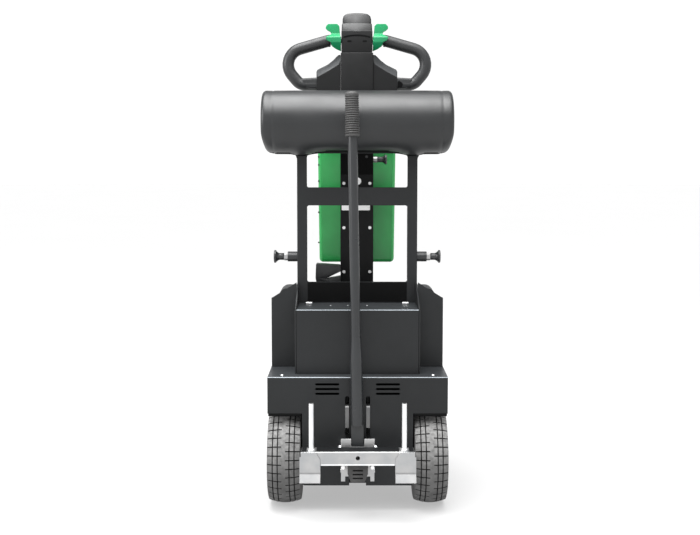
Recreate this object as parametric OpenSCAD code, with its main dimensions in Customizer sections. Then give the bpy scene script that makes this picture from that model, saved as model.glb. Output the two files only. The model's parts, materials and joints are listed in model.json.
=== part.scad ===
// Electric tow tug: a walk-behind tractor that lifts and pulls a trolley by its front hitch.
// X is across the tug, -Y is the hitch end, +Y is the operator's end, Z is up from the floor.

/* [Drive wheels] */
// Radius of a drive tyre
wheel_r = 130; // [124:1:134]
// Width of a drive tyre
tyre_w = 87; // [80:1:92]
// Distance from the middle of the tug to the middle of a drive tyre
wheel_x = 193.5; // [190:0.5:200]
// Place of the drive axle along the tug
axle_y = -100; // [-104:1:-96]
// Radius of the rim under the tyre
rim_r = 52; // [48:1:60]
// Number of tread blocks round each side of a tyre
lug_count = 35; // [24:1:40]
// Depth of the tread grooves
tread_depth = 4; // [2:0.5:6]
// Width of a tread groove
tread_gap = 3; // [2:0.5:4]
// Radius of a drive shaft
shaft_r = 12.5; // [10:0.5:15]
// Number of wheel studs
stud_count = 4; // [3:1:6]

/* [Casters] */
// Radius of a caster wheel
caster_r = 50; // [46:1:51]
// Width of a caster wheel
caster_w = 32; // [26:1:36]
// Distance from the middle of the tug to a caster's swivel
caster_x = 150; // [144:1:156]
// Place of the caster swivels along the tug
caster_y = 197; // [192:1:200]
// Distance from the swivel to the caster's axle
caster_trail = 35; // [28:1:38]
// Side of the square caster plate
caster_plate_w = 90; // [84:1:96]
// Distance between the caster plate's bolts
caster_bolt_gap = 64; // [60:1:66]

/* [Chassis] */
// Front face of the apron
apron_y = -190; // [-194:1:-188]
// Half width of the apron
apron_half_w = 236.5; // [234:0.5:242]
// Height of the apron's lower edge
apron_z = 69; // [60:1:72]
// Top of the shelf behind the apron
shelf_z = 358; // [350:1:366]
// Rear edge of the shelf
shelf_y = -38; // [-40:1:-34]
// Thickness of the folded sheet of the apron, wings and covers
sheet = 3; // [2:0.5:4]
// Thickness of the chassis plates
plate = 4; // [3:0.5:5]
// Top of the rear deck over the casters
deck_z = 136; // [134:1:142]
// Thickness of the rear deck
deck_t = 6; // [5:0.5:8]
// Outer face of the rear wall
wall_y = 108; // [106:1:109]
// Rear edge of the rear deck
rear_y = 292; // [288:1:300]
// Half width of the rear deck
deck_half_w = 215; // [208:1:220]

/* [Covers] */
// Front face of the battery cover
cover_y = -153; // [-156:1:-151]
// Height of the battery cover's top above the batteries
cover_room = 12; // [8:1:18]
// Plane of the side wings
wing_y = -58; // [-62:1:-54]
// Height of a wing at its outer edge
wing_low_z = 548; // [530:1:560]
// Height of a wing at its inner edge
wing_high_z = 591; // [580:1:600]
// How far the rear hood reaches past the deck on each side
hood_over = 6; // [2:1:8]
// Height of the rear hood's top above the batteries
hood_room = 47; // [40:1:54]
// Front face of the rear hood
hood_front_y = 18; // [16:1:24]
// Rounding of the hood's upper corners
hood_round = 25; // [12:1:40]

/* [Batteries] */
// Width of one battery
battery_w = 130; // [120:1:132]
// Length of one battery
battery_l = 195; // [180:1:197]
// Height of one battery with its posts
battery_h = 160; // [150:1:164]

/* [Bumper frame] */
// Front face of the bumper frame
frame_y = -20; // [-23:1:-18]
// Thickness of the frame's sheet
frame_t = 4; // [3:0.5:5]
// Depth of the folded flanges behind the uprights
flange_d = 35; // [30:1:36]
// Inner edge of an upright
upright_in = 138.5; // [137:0.5:142]
// Outer edge of an upright
upright_out = 166; // [163:0.5:168]
// Height of the back panel above the battery cover
panel_h = 58; // [50:1:64]
// Height of the crossbar's lower edge
crossbar_low_z = 800; // [780:1:810]
// Height of the crossbar's upper edge
crossbar_high_z = 850; // [840:1:870]
// Height of the upper window's top edge
window_top_z = 943; // [930:1:950]
// Height of the roll's axis
roll_z = 1028; // [1020:1:1036]
// Radius of the padded roll
roll_r = 87.5; // [80:0.5:89]
// Half length of the padded roll
roll_half_l = 259; // [240:1:266]
// Radius of the steel core in the roll
core_r = 30; // [22:1:36]

/* [Index plungers] */
// Height of the plungers on the uprights
plunger_z = 657; // [640:1:680]
// Radius of a plunger's pin
plunger_pin_r = 6; // [5:0.5:7]
// Radius of a plunger's sleeve
plunger_sleeve_r = 14; // [12:0.5:15]
// Length of a plunger's sleeve
plunger_sleeve_l = 27; // [20:1:30]
// Radius of a plunger's knob
plunger_knob_r = 18; // [15:0.5:20]

/* [Hitch] */
// Front face of the hitch bar
bar_y = -280; // [-284:1:-278]
// Underside of the hitch bar
bar_z = 151; // [148:1:154]
// Height of the hitch bar's channel
bar_h = 35; // [32:1:38]
// Half length of the hitch bar
bar_half_l = 143.5; // [140:0.5:146]
// Radius of the hole in the middle of the hitch bar
tow_hole_r = 5.5; // [4:0.5:8]
// Distance from the middle of the tug to a prong
prong_x = 118.3; // [114:0.1:122]
// Radius of a prong
prong_r = 6.2; // [5:0.1:8]
// Height of a prong above the bar
prong_l = 123; // [100:1:135]
// Half width of a foot plate
foot_half_w = 26.5; // [22:0.5:30]
// Distance from the middle of the tug to a guide slot
slot_x = 27.5; // [26.5:0.5:30]
// Width of a guide slot
slot_w = 10.5; // [9:0.5:12]
// Lower end of the guide slots
slot_low_z = 196; // [192:1:206]
// Upper end of the guide slots
slot_high_z = 308; // [304:1:316]
// Radius of a guide rod
guide_r = 6; // [5:0.5:7]
// Place of the lever's pivot along the tug
pivot_y = -219; // [-220:1:-218]
// Height of the lever's pivot
pivot_z = 176; // [175:1:180]
// Radius of the pivot bolt
pivot_bolt_r = 6; // [5:0.5:7]
// Length of the lever from its pivot to the top of its grip
lever_l = 927; // [900:1:950]
// Radius of the lever's upper tube
lever_r = 12.5; // [11:0.5:14]
// Radius of the lever's foot
lever_foot_r = 16; // [14:0.5:17]
// Angle that the lever leans back at rest
lever_lean = 3; // [2.6:0.1:3.2]
// Length of the lever's grip
grip_l = 116; // [100:1:130]
// Radius of the lever's grip
grip_r = 18.5; // [16:0.5:19.5]
// Number of ribs on the lever's grip
grip_ribs = 17; // [10:1:18]

/* [Tiller] */
// Half width of the outer mast
mast_half_w = 47.6; // [46:0.1:50]
// Front face of the outer mast
mast_y = 118; // [117:1:120]
// Depth of the outer mast
mast_d = 70; // [66:1:74]
// Wall of the outer mast
mast_wall = 4; // [3:0.5:5]
// Height of the tiller's pivot
tilt_z = 235; // [228:1:244]
// Top of the outer mast
mast_top_z = 960; // [950:1:980]
// Radius of the tiller's pivot pin
tilt_pin_r = 8; // [7:0.5:10]
// Distance from the outer mast's top down to its cover plate
plate_drop = 77; // [60:1:90]
// Distance between two rows of screws on the cover plate
mast_screw_gap = 128.5; // [120:0.5:132]
// Distance from the outer mast's top down to its plunger
mast_plunger_drop = 33; // [20:1:40]
// How far the inner mast can be raised
mast_travel = 120; // [80:1:130]
// Half width of the green back cover
back_half_w = 116; // [104:1:120]
// Height of the green back cover
back_h = 409; // [380:1:420]
// Depth of the green back cover
back_d = 38; // [30:1:44]

/* [Steering head] */
// Height of the head's underside above the outer mast at rest
head_rise = 80; // [76:1:100]
// Height of the head's shell
head_h = 278; // [262:1:290]
// Distance from the top of the head's shell down to the butterfly levers' shaft
throttle_drop = 50; // [44:1:54]
// Height of the cap button above the head's shell
button_rise = 31; // [24:1:38]
// Depth of the head
head_d = 90; // [86:1:96]
// Half width of the head's body
head_half_w = 47; // [47:0.5:49]
// Radius of a handle loop's tube
loop_r = 17; // [15:0.5:18]
// Reach of a handle loop from the middle of the tug, to its tube's middle
loop_reach = 197; // [190:1:204]

/* [Hidden] */
$fn = 48;
// Radial clearance of a shaft that turns or slides in its bore
run_gap = 0.05;
// Clearance between pieces that move past each other
gap = 0.4;
// Overlap that makes two shapes of one piece a single solid
weld = 0.5;

axle_z = wheel_r;
tyre_in_x = wheel_x - tyre_w / 2;
arch_x = tyre_in_x - 4;
arch_z = 2 * wheel_r + 1;
inner_y = apron_y + sheet;
tub_half_w = arch_x - 10;
tub_z = apron_z + 6;
floor_z = tub_z + plate;
top_deck_z = shelf_z - sheet;
hood_rear_y = wall_y + 2;
hood_half_w = deck_half_w + hood_over;
hood_z = shelf_z + battery_h + hood_room;
cover_z = shelf_z + battery_h + cover_room;
panel_low_z = cover_z;
panel_high_z = panel_low_z + panel_h;
mast_plate_z = mast_top_z - plate_drop;
mast_plunger_z = mast_top_z - mast_plunger_drop;
head_z = mast_top_z + head_rise;
head_top_z = head_z + head_h;
throttle_z = head_top_z - throttle_drop;
button_top_z = head_top_z + button_rise;
back_high_z = head_z - 10;
back_low_z = back_high_z - back_h;

charcoal = [0.2, 0.2, 0.21];
dark = [0.1, 0.1, 0.11];
zinc = [0.8, 0.81, 0.83];
green = [0.16, 0.6, 0.34];

// A box between two corners given as ranges
module box(x, y, z) {
    translate([x[0], y[0], z[0]]) cube([x[1] - x[0], y[1] - y[0], z[1] - z[0]]);
}

module rod_x(r, x, y, z) {
    translate([x[0], y, z]) rotate([0, 90, 0]) cylinder(r = r, h = x[1] - x[0]);
}

module rod_y(r, x, y, z) {
    translate([x, y[0], z]) rotate([-90, 0, 0]) cylinder(r = r, h = y[1] - y[0]);
}

module rod_z(r, x, y, z) {
    translate([x, y, z[0]]) cylinder(r = r, h = z[1] - z[0]);
}

// A plate across the tug, from an outline in X and Z
module across(y) {
    translate([0, y[1], 0]) rotate([90, 0, 0]) linear_extrude(y[1] - y[0]) children();
}

// A plate along the tug, from an outline in Y and Z
module along(x) {
    translate([x[0], 0, 0]) rotate([90, 0, 90]) linear_extrude(x[1] - x[0]) children();
}

module pair() {
    children();
    mirror([1, 0, 0]) children();
}

// Puts a right-hand piece on the left where side is -1
module on_side(side) {
    mirror([side < 0 ? 1 : 0, 0, 0]) children();
}

// A rectangle with round corners between two corners given as ranges
module soft_rect(x, y, r) {
    translate([x[0] + r, y[0]]) square([x[1] - x[0] - 2 * r, y[1] - y[0]]);
    translate([x[0], y[0] + r]) square([x[1] - x[0], y[1] - y[0] - 2 * r]);
    for (cx = [x[0] + r, x[1] - r], cy = [y[0] + r, y[1] - r]) translate([cx, cy]) circle(r);
}

// A hexagon head along X
module hex_head(r, x, y, z) {
    translate([x[0], y, z]) rotate([0, 90, 0]) cylinder(r = r, h = x[1] - x[0], $fn = 6);
}

// A hexagon nut along X
module hex_nut(r, bore_r, x, y, z) {
    difference() {
        hex_head(r, x, y, z);
        rod_x(bore_r, [x[0] - 1, x[1] + 1], y, z);
    }
}

// Chassis

caster_offsets = [-caster_bolt_gap / 2, caster_bolt_gap / 2];
caster_bolt_r = 4;
axle_tube_r = shaft_r + 7.5;
gusset_l = 162;
gusset_h = 164;
deck_corner = 24;

module chassis_tub() {
    color(charcoal) {
        pair() difference() {
            box([tub_half_w - plate, tub_half_w], [inner_y, wall_y], [tub_z, top_deck_z]);
            rod_x(axle_tube_r + gap, [0, arch_x], axle_y, axle_z);
        }
        box([-tub_half_w, tub_half_w], [inner_y, wall_y], [tub_z, floor_z]);
        box([-hood_half_w, hood_half_w], [inner_y, wall_y], [top_deck_z - plate, top_deck_z]);
        box([-tub_half_w, tub_half_w], [wall_y - plate, wall_y], [tub_z, top_deck_z]);
        box([-deck_half_w, deck_half_w], [wall_y - plate, wall_y], [deck_z - deck_t, top_deck_z]);
        difference() {
            translate([0, 0, deck_z - deck_t]) linear_extrude(deck_t) polygon([
                [-deck_half_w, wall_y - plate], [deck_half_w, wall_y - plate],
                [deck_half_w, rear_y - deck_corner], [deck_half_w - deck_corner, rear_y],
                [deck_corner - deck_half_w, rear_y], [-deck_half_w, rear_y - deck_corner]
            ]);
            caster_bolt_places() cylinder(r = caster_bolt_r + run_gap, h = deck_z);
        }
        pair() along([deck_half_w - plate, deck_half_w]) polygon([
            [wall_y - weld, deck_z - weld], [wall_y + gusset_l, deck_z - weld],
            [wall_y + gusset_l, deck_z + 12], [wall_y - weld, deck_z + gusset_h]
        ]);
    }
}

module caster_bolt_places() {
    for (side = [-1, 1], dx = caster_offsets, dy = caster_offsets)
        translate([side * caster_x + dx, caster_y + dy, 0]) children();
}

notch_half_w = 22;
notch_h = 17;
vent_x = [48, 111];
vent_h = 6;
vent_gap = 12.5;
vent_low_z = shelf_z - 47;
shelf_half_w = upright_out + 4;
shelf_rear_y = hood_front_y - gap;
tongue_half_w = upright_in - gap;

module apron() {
    color(charcoal) {
        difference() {
            across([apron_y, inner_y]) polygon([
                [-apron_half_w, arch_z], [-arch_x, arch_z], [-arch_x, apron_z + 5], [5 - arch_x, apron_z],
                [-notch_half_w, apron_z], [-notch_half_w, apron_z + notch_h],
                [notch_half_w, apron_z + notch_h], [notch_half_w, apron_z],
                [arch_x - 5, apron_z], [arch_x, apron_z + 5], [arch_x, arch_z], [apron_half_w, arch_z],
                [apron_half_w, shelf_z], [-apron_half_w, shelf_z]
            ]);
            pair() across([apron_y - 1, inner_y + 1]) soft_rect(
                [slot_x - slot_w / 2, slot_x + slot_w / 2], [slot_low_z, slot_high_z], slot_w / 2 - 0.01
            );
            pair() for (row = [0:2]) across([apron_y - 1, inner_y + 1]) soft_rect(
                vent_x, [vent_low_z + row * vent_gap, vent_low_z + row * vent_gap + vent_h], vent_h / 2 - 0.01
            );
        }
        box([-apron_half_w, apron_half_w], [apron_y, shelf_y], [top_deck_z, shelf_z]);
        box([-shelf_half_w, shelf_half_w], [shelf_y - weld, shelf_rear_y], [top_deck_z, shelf_z]);
        box([-tongue_half_w, tongue_half_w], [shelf_rear_y - weld, battery_y[1] + gap], [top_deck_z, shelf_z]);
        pair() box(
            [apron_half_w - sheet, apron_half_w], [inner_y - weld, shelf_y], [arch_z + 8, top_deck_z + weld]
        );
    }
}

wing_in_x = upright_out;
wing_out_x = apron_half_w - 1.5;
wing_lip = 18;

module side_wings() {
    color(charcoal) pair() {
        across([wing_y, wing_y + sheet]) polygon([
            [wing_in_x, shelf_z], [wing_out_x, shelf_z], [wing_out_x, wing_low_z], [wing_in_x, wing_high_z]
        ]);
        box([wing_out_x - sheet, wing_out_x], [wing_y + 1, wing_y + wing_lip], [shelf_z, wing_low_z]);
    }
}

// Front cover over the batteries, open below and behind
cover_half_w = upright_out - frame_t - gap;
cover_wall = 2;

module front_cover() {
    color(charcoal) difference() {
        box([-cover_half_w, cover_half_w], [cover_y, frame_y], [shelf_z, cover_z]);
        box(
            [cover_wall - cover_half_w, cover_half_w - cover_wall],
            [cover_y + cover_wall, frame_y + 1], [shelf_z - 1, cover_z - cover_wall]
        );
    }
}

// Bumper frame

window_r = 6;
roll_y = frame_y + frame_t / 2;
throat_half_w = upright_out + 16;
flare = 14;
core_inset = 31;
core_half_l = roll_half_l - core_inset;
channel_y = frame_y + flange_d / 2;

module frame_outline() {
    difference() {
        union() {
            translate([-upright_out, shelf_z]) square([2 * upright_out, window_top_z - shelf_z]);
            translate([-throat_half_w, window_top_z]) square([2 * throat_half_w, roll_z - core_r / 2 - window_top_z]);
            pair_2d() polygon([
                [upright_out - weld, window_top_z - flare], [upright_out, window_top_z - flare],
                [upright_out + 4, window_top_z - 5], [throat_half_w, window_top_z],
                [throat_half_w, window_top_z + weld], [upright_out - weld, window_top_z + weld]
            ]);
        }
        translate([-upright_in, shelf_z - 1]) square([2 * upright_in, panel_low_z - shelf_z + 1]);
        soft_rect([-upright_in, upright_in], [panel_high_z, crossbar_low_z], window_r);
        soft_rect([-upright_in, upright_in], [crossbar_high_z, window_top_z], 2 * window_r);
        soft_rect([-upright_in, upright_in], [crossbar_high_z, window_top_z - 4 * window_r], window_r - 1);
    }
}

module pair_2d() {
    children();
    mirror([1, 0]) children();
}

module bumper_frame() {
    color(charcoal) difference() {
        union() {
            across([frame_y, frame_y + frame_t]) frame_outline();
            pair() box(
                [upright_out - frame_t, upright_out], [frame_y + 1, frame_y + flange_d],
                [shelf_z, roll_z - core_r - 1]
            );
            pair() box(
                [upright_in, upright_in + frame_t - 1], [frame_y + 1, frame_y + flange_d / 2 - 4],
                [panel_high_z + window_r, crossbar_low_z - window_r]
            );
            pair() along([upright_out - frame_t, upright_out]) polygon([
                [cover_y + 2, shelf_z], [cover_y + 2, cover_z - 2],
                [frame_y + 1, panel_high_z], [frame_y + 1, shelf_z]
            ]);
            rod_x(core_r, [-core_half_l, core_half_l], roll_y, roll_z);
        }
        pair() rod_x(plunger_pin_r + run_gap, [upright_in + 6, upright_out + 1], channel_y, plunger_z);
        rod_x(core_r - 3, [-core_half_l - 1, core_half_l + 1], roll_y, roll_z);
    }
}

roll_round = 26;

module bumper_roll() {
    color([0.27, 0.27, 0.29]) difference() {
        translate([-roll_half_l, roll_y, roll_z]) rotate([0, 90, 0]) rotate_extrude() intersection() {
            square([roll_r, 2 * roll_half_l]);
            soft_rect([-roll_r, roll_r], [0, 2 * roll_half_l], roll_round);
        }
        rod_x(core_r + gap, [-core_half_l - gap, core_half_l + gap], roll_y, roll_z);
        box(
            [-throat_half_w - gap, throat_half_w + gap], [frame_y - gap, frame_y + frame_t + gap],
            [window_top_z - roll_r, roll_z]
        );
        pair() box(
            [upright_out - frame_t - gap, upright_out + gap], [frame_y - gap, frame_y + flange_d + gap],
            [window_top_z - roll_r, roll_z]
        );
    }
}

// Rear hood, open below, with a doorway for the batteries in its front

module hood_outline(half_w, low_z, top_z, r) {
    translate([-half_w, low_z]) square([2 * half_w, top_z - low_z - r]);
    translate([r - half_w, low_z]) square([2 * (half_w - r), top_z - low_z]);
    for (x = [r - half_w, half_w - r]) translate([x, top_z - r]) circle(r);
}

module rear_hood() {
    color(charcoal) difference() {
        across([hood_front_y, hood_rear_y]) hood_outline(hood_half_w, top_deck_z, hood_z, hood_round);
        across([hood_front_y + sheet, hood_rear_y - sheet])
            hood_outline(hood_half_w - sheet, top_deck_z - 1, hood_z - sheet, hood_round - sheet);
        box([-upright_in, upright_in], [hood_front_y - 1, hood_front_y + sheet + 1],
            [top_deck_z - 1, cover_z - cover_wall]);
    }
}

// Batteries and drive

battery_gap = 3;
battery_front_y = cover_y + cover_wall + 4;
battery_y = [battery_front_y, battery_front_y + battery_l];
post_h = 9;
post_inset = 24;
post_y = battery_front_y + 30;

module batteries() {
    color(dark) pair() {
        box([battery_gap, battery_gap + battery_w], battery_y, [shelf_z, shelf_z + battery_h - post_h]);
        for (x = [battery_gap + post_inset, battery_gap + battery_w - post_inset])
            rod_z(8, x, post_y, [shelf_z + battery_h - post_h - weld, shelf_z + battery_h]);
    }
}

module battery_link() {
    reach = battery_gap + post_inset + 10;
    color([0.8, 0.6, 0.25]) box([-reach, reach], [post_y - 8, post_y + 8],
        [shelf_z + battery_h, shelf_z + battery_h + 2]);
}

plug_x = [-118, -47];
plug_y = [hood_front_y + 28, hood_front_y + 64];
plug_h = 66;

module battery_plug() {
    color([0.15, 0.15, 0.16]) difference() {
        across(plug_y) polygon([
            [plug_x[0], hood_z], [plug_x[1], hood_z], [plug_x[1], hood_z + plug_h - 10],
            [plug_x[1] - 12, hood_z + plug_h], [plug_x[0] + 6, hood_z + plug_h], [plug_x[0], hood_z + plug_h - 6]
        ]);
        across([plug_y[0] - 1, plug_y[0] + 8]) polygon([
            [plug_x[0] + 32, hood_z + 8], [plug_x[1] - 6, hood_z + 37],
            [plug_x[1] - 6, hood_z + 47], [plug_x[0] + 26, hood_z + 14]
        ]);
    }
}

controller_y = [battery_y[1] + 8, hood_rear_y - sheet - 6];
controller_half_w = 84;
controller_h = 118;
fin_pitch = 12;
fin_t = 8;
fin_depth = 12;
heat_sink_h = 24;

module motor_controller() {
    core_half_w = controller_half_w - 4;
    color([0.6, 0.6, 0.62]) {
        box([-controller_half_w, controller_half_w], controller_y, [top_deck_z, top_deck_z + heat_sink_h]);
        for (z = [top_deck_z + heat_sink_h : fin_pitch : top_deck_z + controller_h - fin_t])
            box([-controller_half_w, controller_half_w], controller_y, [z + fin_pitch - fin_t, z + fin_pitch]);
        box([-core_half_w, core_half_w], [controller_y[0] + fin_depth, controller_y[1] - 2],
            [top_deck_z, top_deck_z + controller_h]);
    }
}

gear_r = 46;
gear_half_l = 60;
gear_neck_r = 38;
gear_foot_w = 50;
gear_foot_l = 30;
gear_foot_drop = 26;
motor_max_r = 48;
motor_r = min(motor_max_r, axle_z - floor_z - 3);
motor_reach = 86;
motor_l = 74;
motor_flange_t = 8;
motor_y = [axle_y + motor_reach, axle_y + motor_reach + motor_l];
motor_cap_t = 5;
brake_l = 24;

module transaxle() {
    color([0.5, 0.51, 0.53]) difference() {
        union() {
            rod_x(gear_r, [-gear_half_l, gear_half_l], axle_y, axle_z);
            rod_x(axle_tube_r, [-arch_x + 4, arch_x - 4], axle_y, axle_z);
            rod_y(gear_neck_r, 0, [axle_y, motor_y[0] - motor_flange_t], axle_z);
            rod_y(motor_r, 0, [motor_y[0] - motor_flange_t, motor_y[0]], axle_z);
            box([-gear_foot_w, gear_foot_w], [axle_y - gear_foot_l, axle_y + gear_foot_l],
                [floor_z, axle_z - gear_foot_drop]);
        }
        rod_x(shaft_r + run_gap, [-arch_x, arch_x], axle_y, axle_z);
    }
}

module drive_motor() {
    color(dark) {
        rod_y(motor_r, 0, motor_y, axle_z);
        rod_y(motor_r - 5, 0, [motor_y[1] - weld, motor_y[1] + motor_cap_t], axle_z);
    }
}

module motor_brake() {
    brake_y = motor_y[1] + motor_cap_t;
    color([0.35, 0.35, 0.37]) rod_y(motor_r - 11, 0, [brake_y, brake_y + brake_l], axle_z);
}

guide_y = inner_y + 22;
guide_boss_r = guide_r + 5;

module guide_rods() {
    color(zinc) pair() rod_z(guide_r, slot_x, guide_y, [floor_z, top_deck_z - plate]);
}

// Drive wheels

crown_r = 110;
bead_half_w = tyre_w / 2 - 10.5;
lip_h = 6;
shoulder_r = 16;
groove_xs = [0.175 * tyre_w, 0.325 * tyre_w];
lug_in = 0.048 * tyre_w;
lug_tilt = 12;

module tyre_profile() {
    difference() {
        intersection() {
            soft_rect([rim_r, wheel_r + 1], [-tyre_w / 2, tyre_w / 2], shoulder_r);
            translate([wheel_r - crown_r, 0]) circle(crown_r);
        }
        for (side = [0, 1]) mirror([0, side]) {
            translate([0, bead_half_w]) square([rim_r + lip_h + gap, tyre_w]);
            for (x = groove_xs) translate([wheel_r - tread_depth - 1.5 * side_drop(x), x - tread_gap / 2])
                square([wheel_r, tread_gap]);
        }
    }
}

// How far the crowned tread falls away at a distance from its middle
function side_drop(x) = crown_r - sqrt(crown_r * crown_r - x * x);

module tyre() {
    color([0.3, 0.3, 0.3]) translate([wheel_x, axle_y, axle_z]) rotate([0, 90, 0]) difference() {
        rotate_extrude() tyre_profile();
        for (side = [0, 1], i = [0 : lug_count - 1])
            rotate([0, 0, (i + side / 2) * 360 / lug_count]) mirror([0, 0, side])
                translate([wheel_r - tread_depth, -tread_gap / 2, lug_in]) rotate([0, -lug_tilt, 0])
                    cube([shoulder_r + tread_depth, tread_gap, tyre_w / 2]);
    }
}

disc_x = wheel_x - 8;
disc_t = 5;
stud_ring_r = rim_r - 20;
stud_r = 4;
pilot_r = shaft_r + 6;

module stud_places() {
    for (i = [0 : stud_count - 1]) translate([0, axle_y, axle_z]) rotate([i * 360 / stud_count, 0, 0])
        translate([0, 0, stud_ring_r]) children();
}

rim_half_w = bead_half_w + 3;
lip_t = 3 - gap;
lip_r = rim_r - 1 + lip_h;
rim_wall = 4;

module rim() {
    color([0.55, 0.56, 0.58]) difference() {
        translate([wheel_x, axle_y, axle_z]) rotate([0, 90, 0]) rotate_extrude() {
            polygon([
                [rim_r - rim_wall, -rim_half_w], [lip_r, -rim_half_w], [lip_r, lip_t - rim_half_w],
                [rim_r, lip_t - rim_half_w], [rim_r, rim_half_w - lip_t], [lip_r, rim_half_w - lip_t],
                [lip_r, rim_half_w], [rim_r - rim_wall, rim_half_w]
            ]);
            translate([pilot_r + gap, disc_x - wheel_x])
                square([rim_r - rim_wall + 1 - pilot_r - gap, disc_t]);
        }
        stud_places() rod_x(stud_r + gap, [disc_x - 1, disc_x + disc_t + 1], 0, 0);
    }
}

shaft_in_x = 6;
flange_t = 7;
stud_l = 16;

module half_shaft() {
    color([0.62, 0.63, 0.65]) {
        rod_x(shaft_r, [shaft_in_x, disc_x + disc_t + 3], axle_y, axle_z);
        rod_x(pilot_r, [disc_x - 16, disc_x + disc_t + 3], axle_y, axle_z);
        rod_x(stud_ring_r + 9, [disc_x - flange_t, disc_x], axle_y, axle_z);
        stud_places() rod_x(stud_r, [disc_x - flange_t, disc_x + stud_l], 0, 0);
    }
}

module wheel_nuts() {
    nut_x = disc_x + disc_t;
    color(zinc) stud_places() hex_nut(7.5, stud_r + run_gap, [nut_x, nut_x + 7], 0, 0);
}

// Casters

caster_top_z = deck_z - deck_t;
caster_plate_t = 6;
race_r = 26;
race_h = 10;
king_r = 8;
king_cap_r = 12;
fork_top_z = caster_top_z - caster_plate_t - race_h - gap;
fork_t = 6;
fork_leg_t = 3;
fork_gap = caster_w / 2 + 1.5;
caster_axle_r = 5;
caster_axle_y = caster_y + caster_trail;

module caster_plates() {
    half = caster_plate_w / 2;
    plate_z = caster_top_z - caster_plate_t;
    color(zinc) difference() {
        pair() {
            box([caster_x - half, caster_x + half], [caster_y - half, caster_y + half], [plate_z, caster_top_z]);
            rod_z(race_r, caster_x, caster_y, [plate_z - race_h, plate_z + weld]);
            rod_z(king_r, caster_x, caster_y, [fork_top_z - fork_t - gap - 1, plate_z]);
            rod_z(king_cap_r, caster_x, caster_y,
                [fork_top_z - fork_t - gap - 4, fork_top_z - fork_t - gap]);
        }
        caster_bolt_places() cylinder(r = caster_bolt_r + run_gap, h = deck_z);
    }
}

module caster_bolts() {
    color(zinc) caster_bolt_places() {
        translate([0, 0, caster_top_z - caster_plate_t - 5]) cylinder(r = 7, h = 5, $fn = 6);
        translate([0, 0, caster_top_z - caster_plate_t - 6]) cylinder(r = caster_bolt_r, h = deck_t + 12);
        translate([0, 0, deck_z]) cylinder(r = 7, h = 5.3, $fn = 6);
    }
}

module caster_fork() {
    color(zinc) difference() {
        union() {
            rod_z(race_r + 4, caster_x, caster_y, [fork_top_z - fork_t, fork_top_z]);
            for (side = [-1, 1]) translate([caster_x, 0, 0]) mirror([side < 0 ? 1 : 0, 0, 0])
                along([fork_gap, fork_gap + fork_leg_t]) {
                    polygon([
                        [caster_y - 18, fork_top_z], [caster_y + 20, fork_top_z],
                        [caster_axle_y + 13, caster_r + 4], [caster_axle_y - 13, caster_r - 5]
                    ]);
                    translate([caster_axle_y, caster_r]) circle(14);
                }
        }
        rod_z(king_r + run_gap, caster_x, caster_y, [0, fork_top_z + 1]);
        rod_x(caster_axle_r + run_gap, [caster_x - caster_w, caster_x + caster_w], caster_axle_y, caster_r);
    }
}

module caster_wheel() {
    color([0.22, 0.22, 0.22]) translate([caster_x, caster_axle_y, caster_r]) rotate([0, 90, 0])
        rotate_extrude() intersection() {
            translate([caster_axle_r + run_gap, -caster_w]) square([caster_r, 2 * caster_w]);
            soft_rect([-caster_r, caster_r], [-caster_w / 2, caster_w / 2], 6);
        }
}

module caster_axle() {
    head_x = fork_gap + fork_leg_t;
    color(zinc) {
        rod_x(caster_axle_r, [caster_x - head_x - 1, caster_x + head_x + 1], caster_axle_y, caster_r);
        for (side = [-1, 1]) translate([caster_x, 0, 0]) on_side(side)
            hex_head(8, [head_x, head_x + 4.5], caster_axle_y, caster_r);
    }
}

// Hitch

tab_half_w = slot_w / 2 - 0.3;
lift = 20;
tab_z = [slot_low_z + 28, slot_low_z + 86];
ear_inset = 40;
ear_drop = 41;
ear_rise = 57;
ear_tip_drop = 54;
ear_y = [bar_y + ear_inset, apron_y - 2];
ear_z = [bar_z - ear_drop, bar_z + ear_rise];
ear_low_z = bar_z - ear_tip_drop;
ear_lip_x = [slot_x - 10, slot_x + 15.5];
ear_lip_t = 4;
through_z = [slot_low_z + slot_w / 2 + 1, ear_z[1] - 0.5];
bar_t = 4;
foot_t = 4;
foot_bend_drop = 19;
foot_bend_z = bar_z - foot_bend_drop;
foot_low_z = bar_z - ear_drop;
foot_lip = 11;
foot_x = (bar_half_l + prong_x) / 2 - 9.5;
hub_r = 11;
hub_half_w = slot_x - tab_half_w - 1.5;
pad_bolt_r = 5;
pad_bolt_y = pivot_y - 5;
pad_bolt_drop = 31;
pad_bolt_z = bar_z - pad_bolt_drop;

module hitch_carriage() {
    color(zinc) difference() {
        union() {
            difference() {
                box([-bar_half_l, bar_half_l], [bar_y, ear_y[0] + 1], [bar_z, bar_z + bar_h]);
                box([-bar_half_l - 1, bar_half_l + 1], [bar_y + bar_t, ear_y[0] - 3],
                    [bar_z + bar_t, bar_z + bar_h - bar_t]);
            }
            pair() {
                foot_plate();
                prong();
                ear();
            }
        }
        rod_y(tow_hole_r, 0, [bar_y - 1, bar_y + bar_t + 1], bar_z + 19);
        rod_x(pivot_bolt_r + run_gap, [-bar_half_l, bar_half_l], pivot_y, pivot_z);
        rod_x(pad_bolt_r + run_gap, [-bar_half_l, bar_half_l], pad_bolt_y, pad_bolt_z);
    }
}

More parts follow.
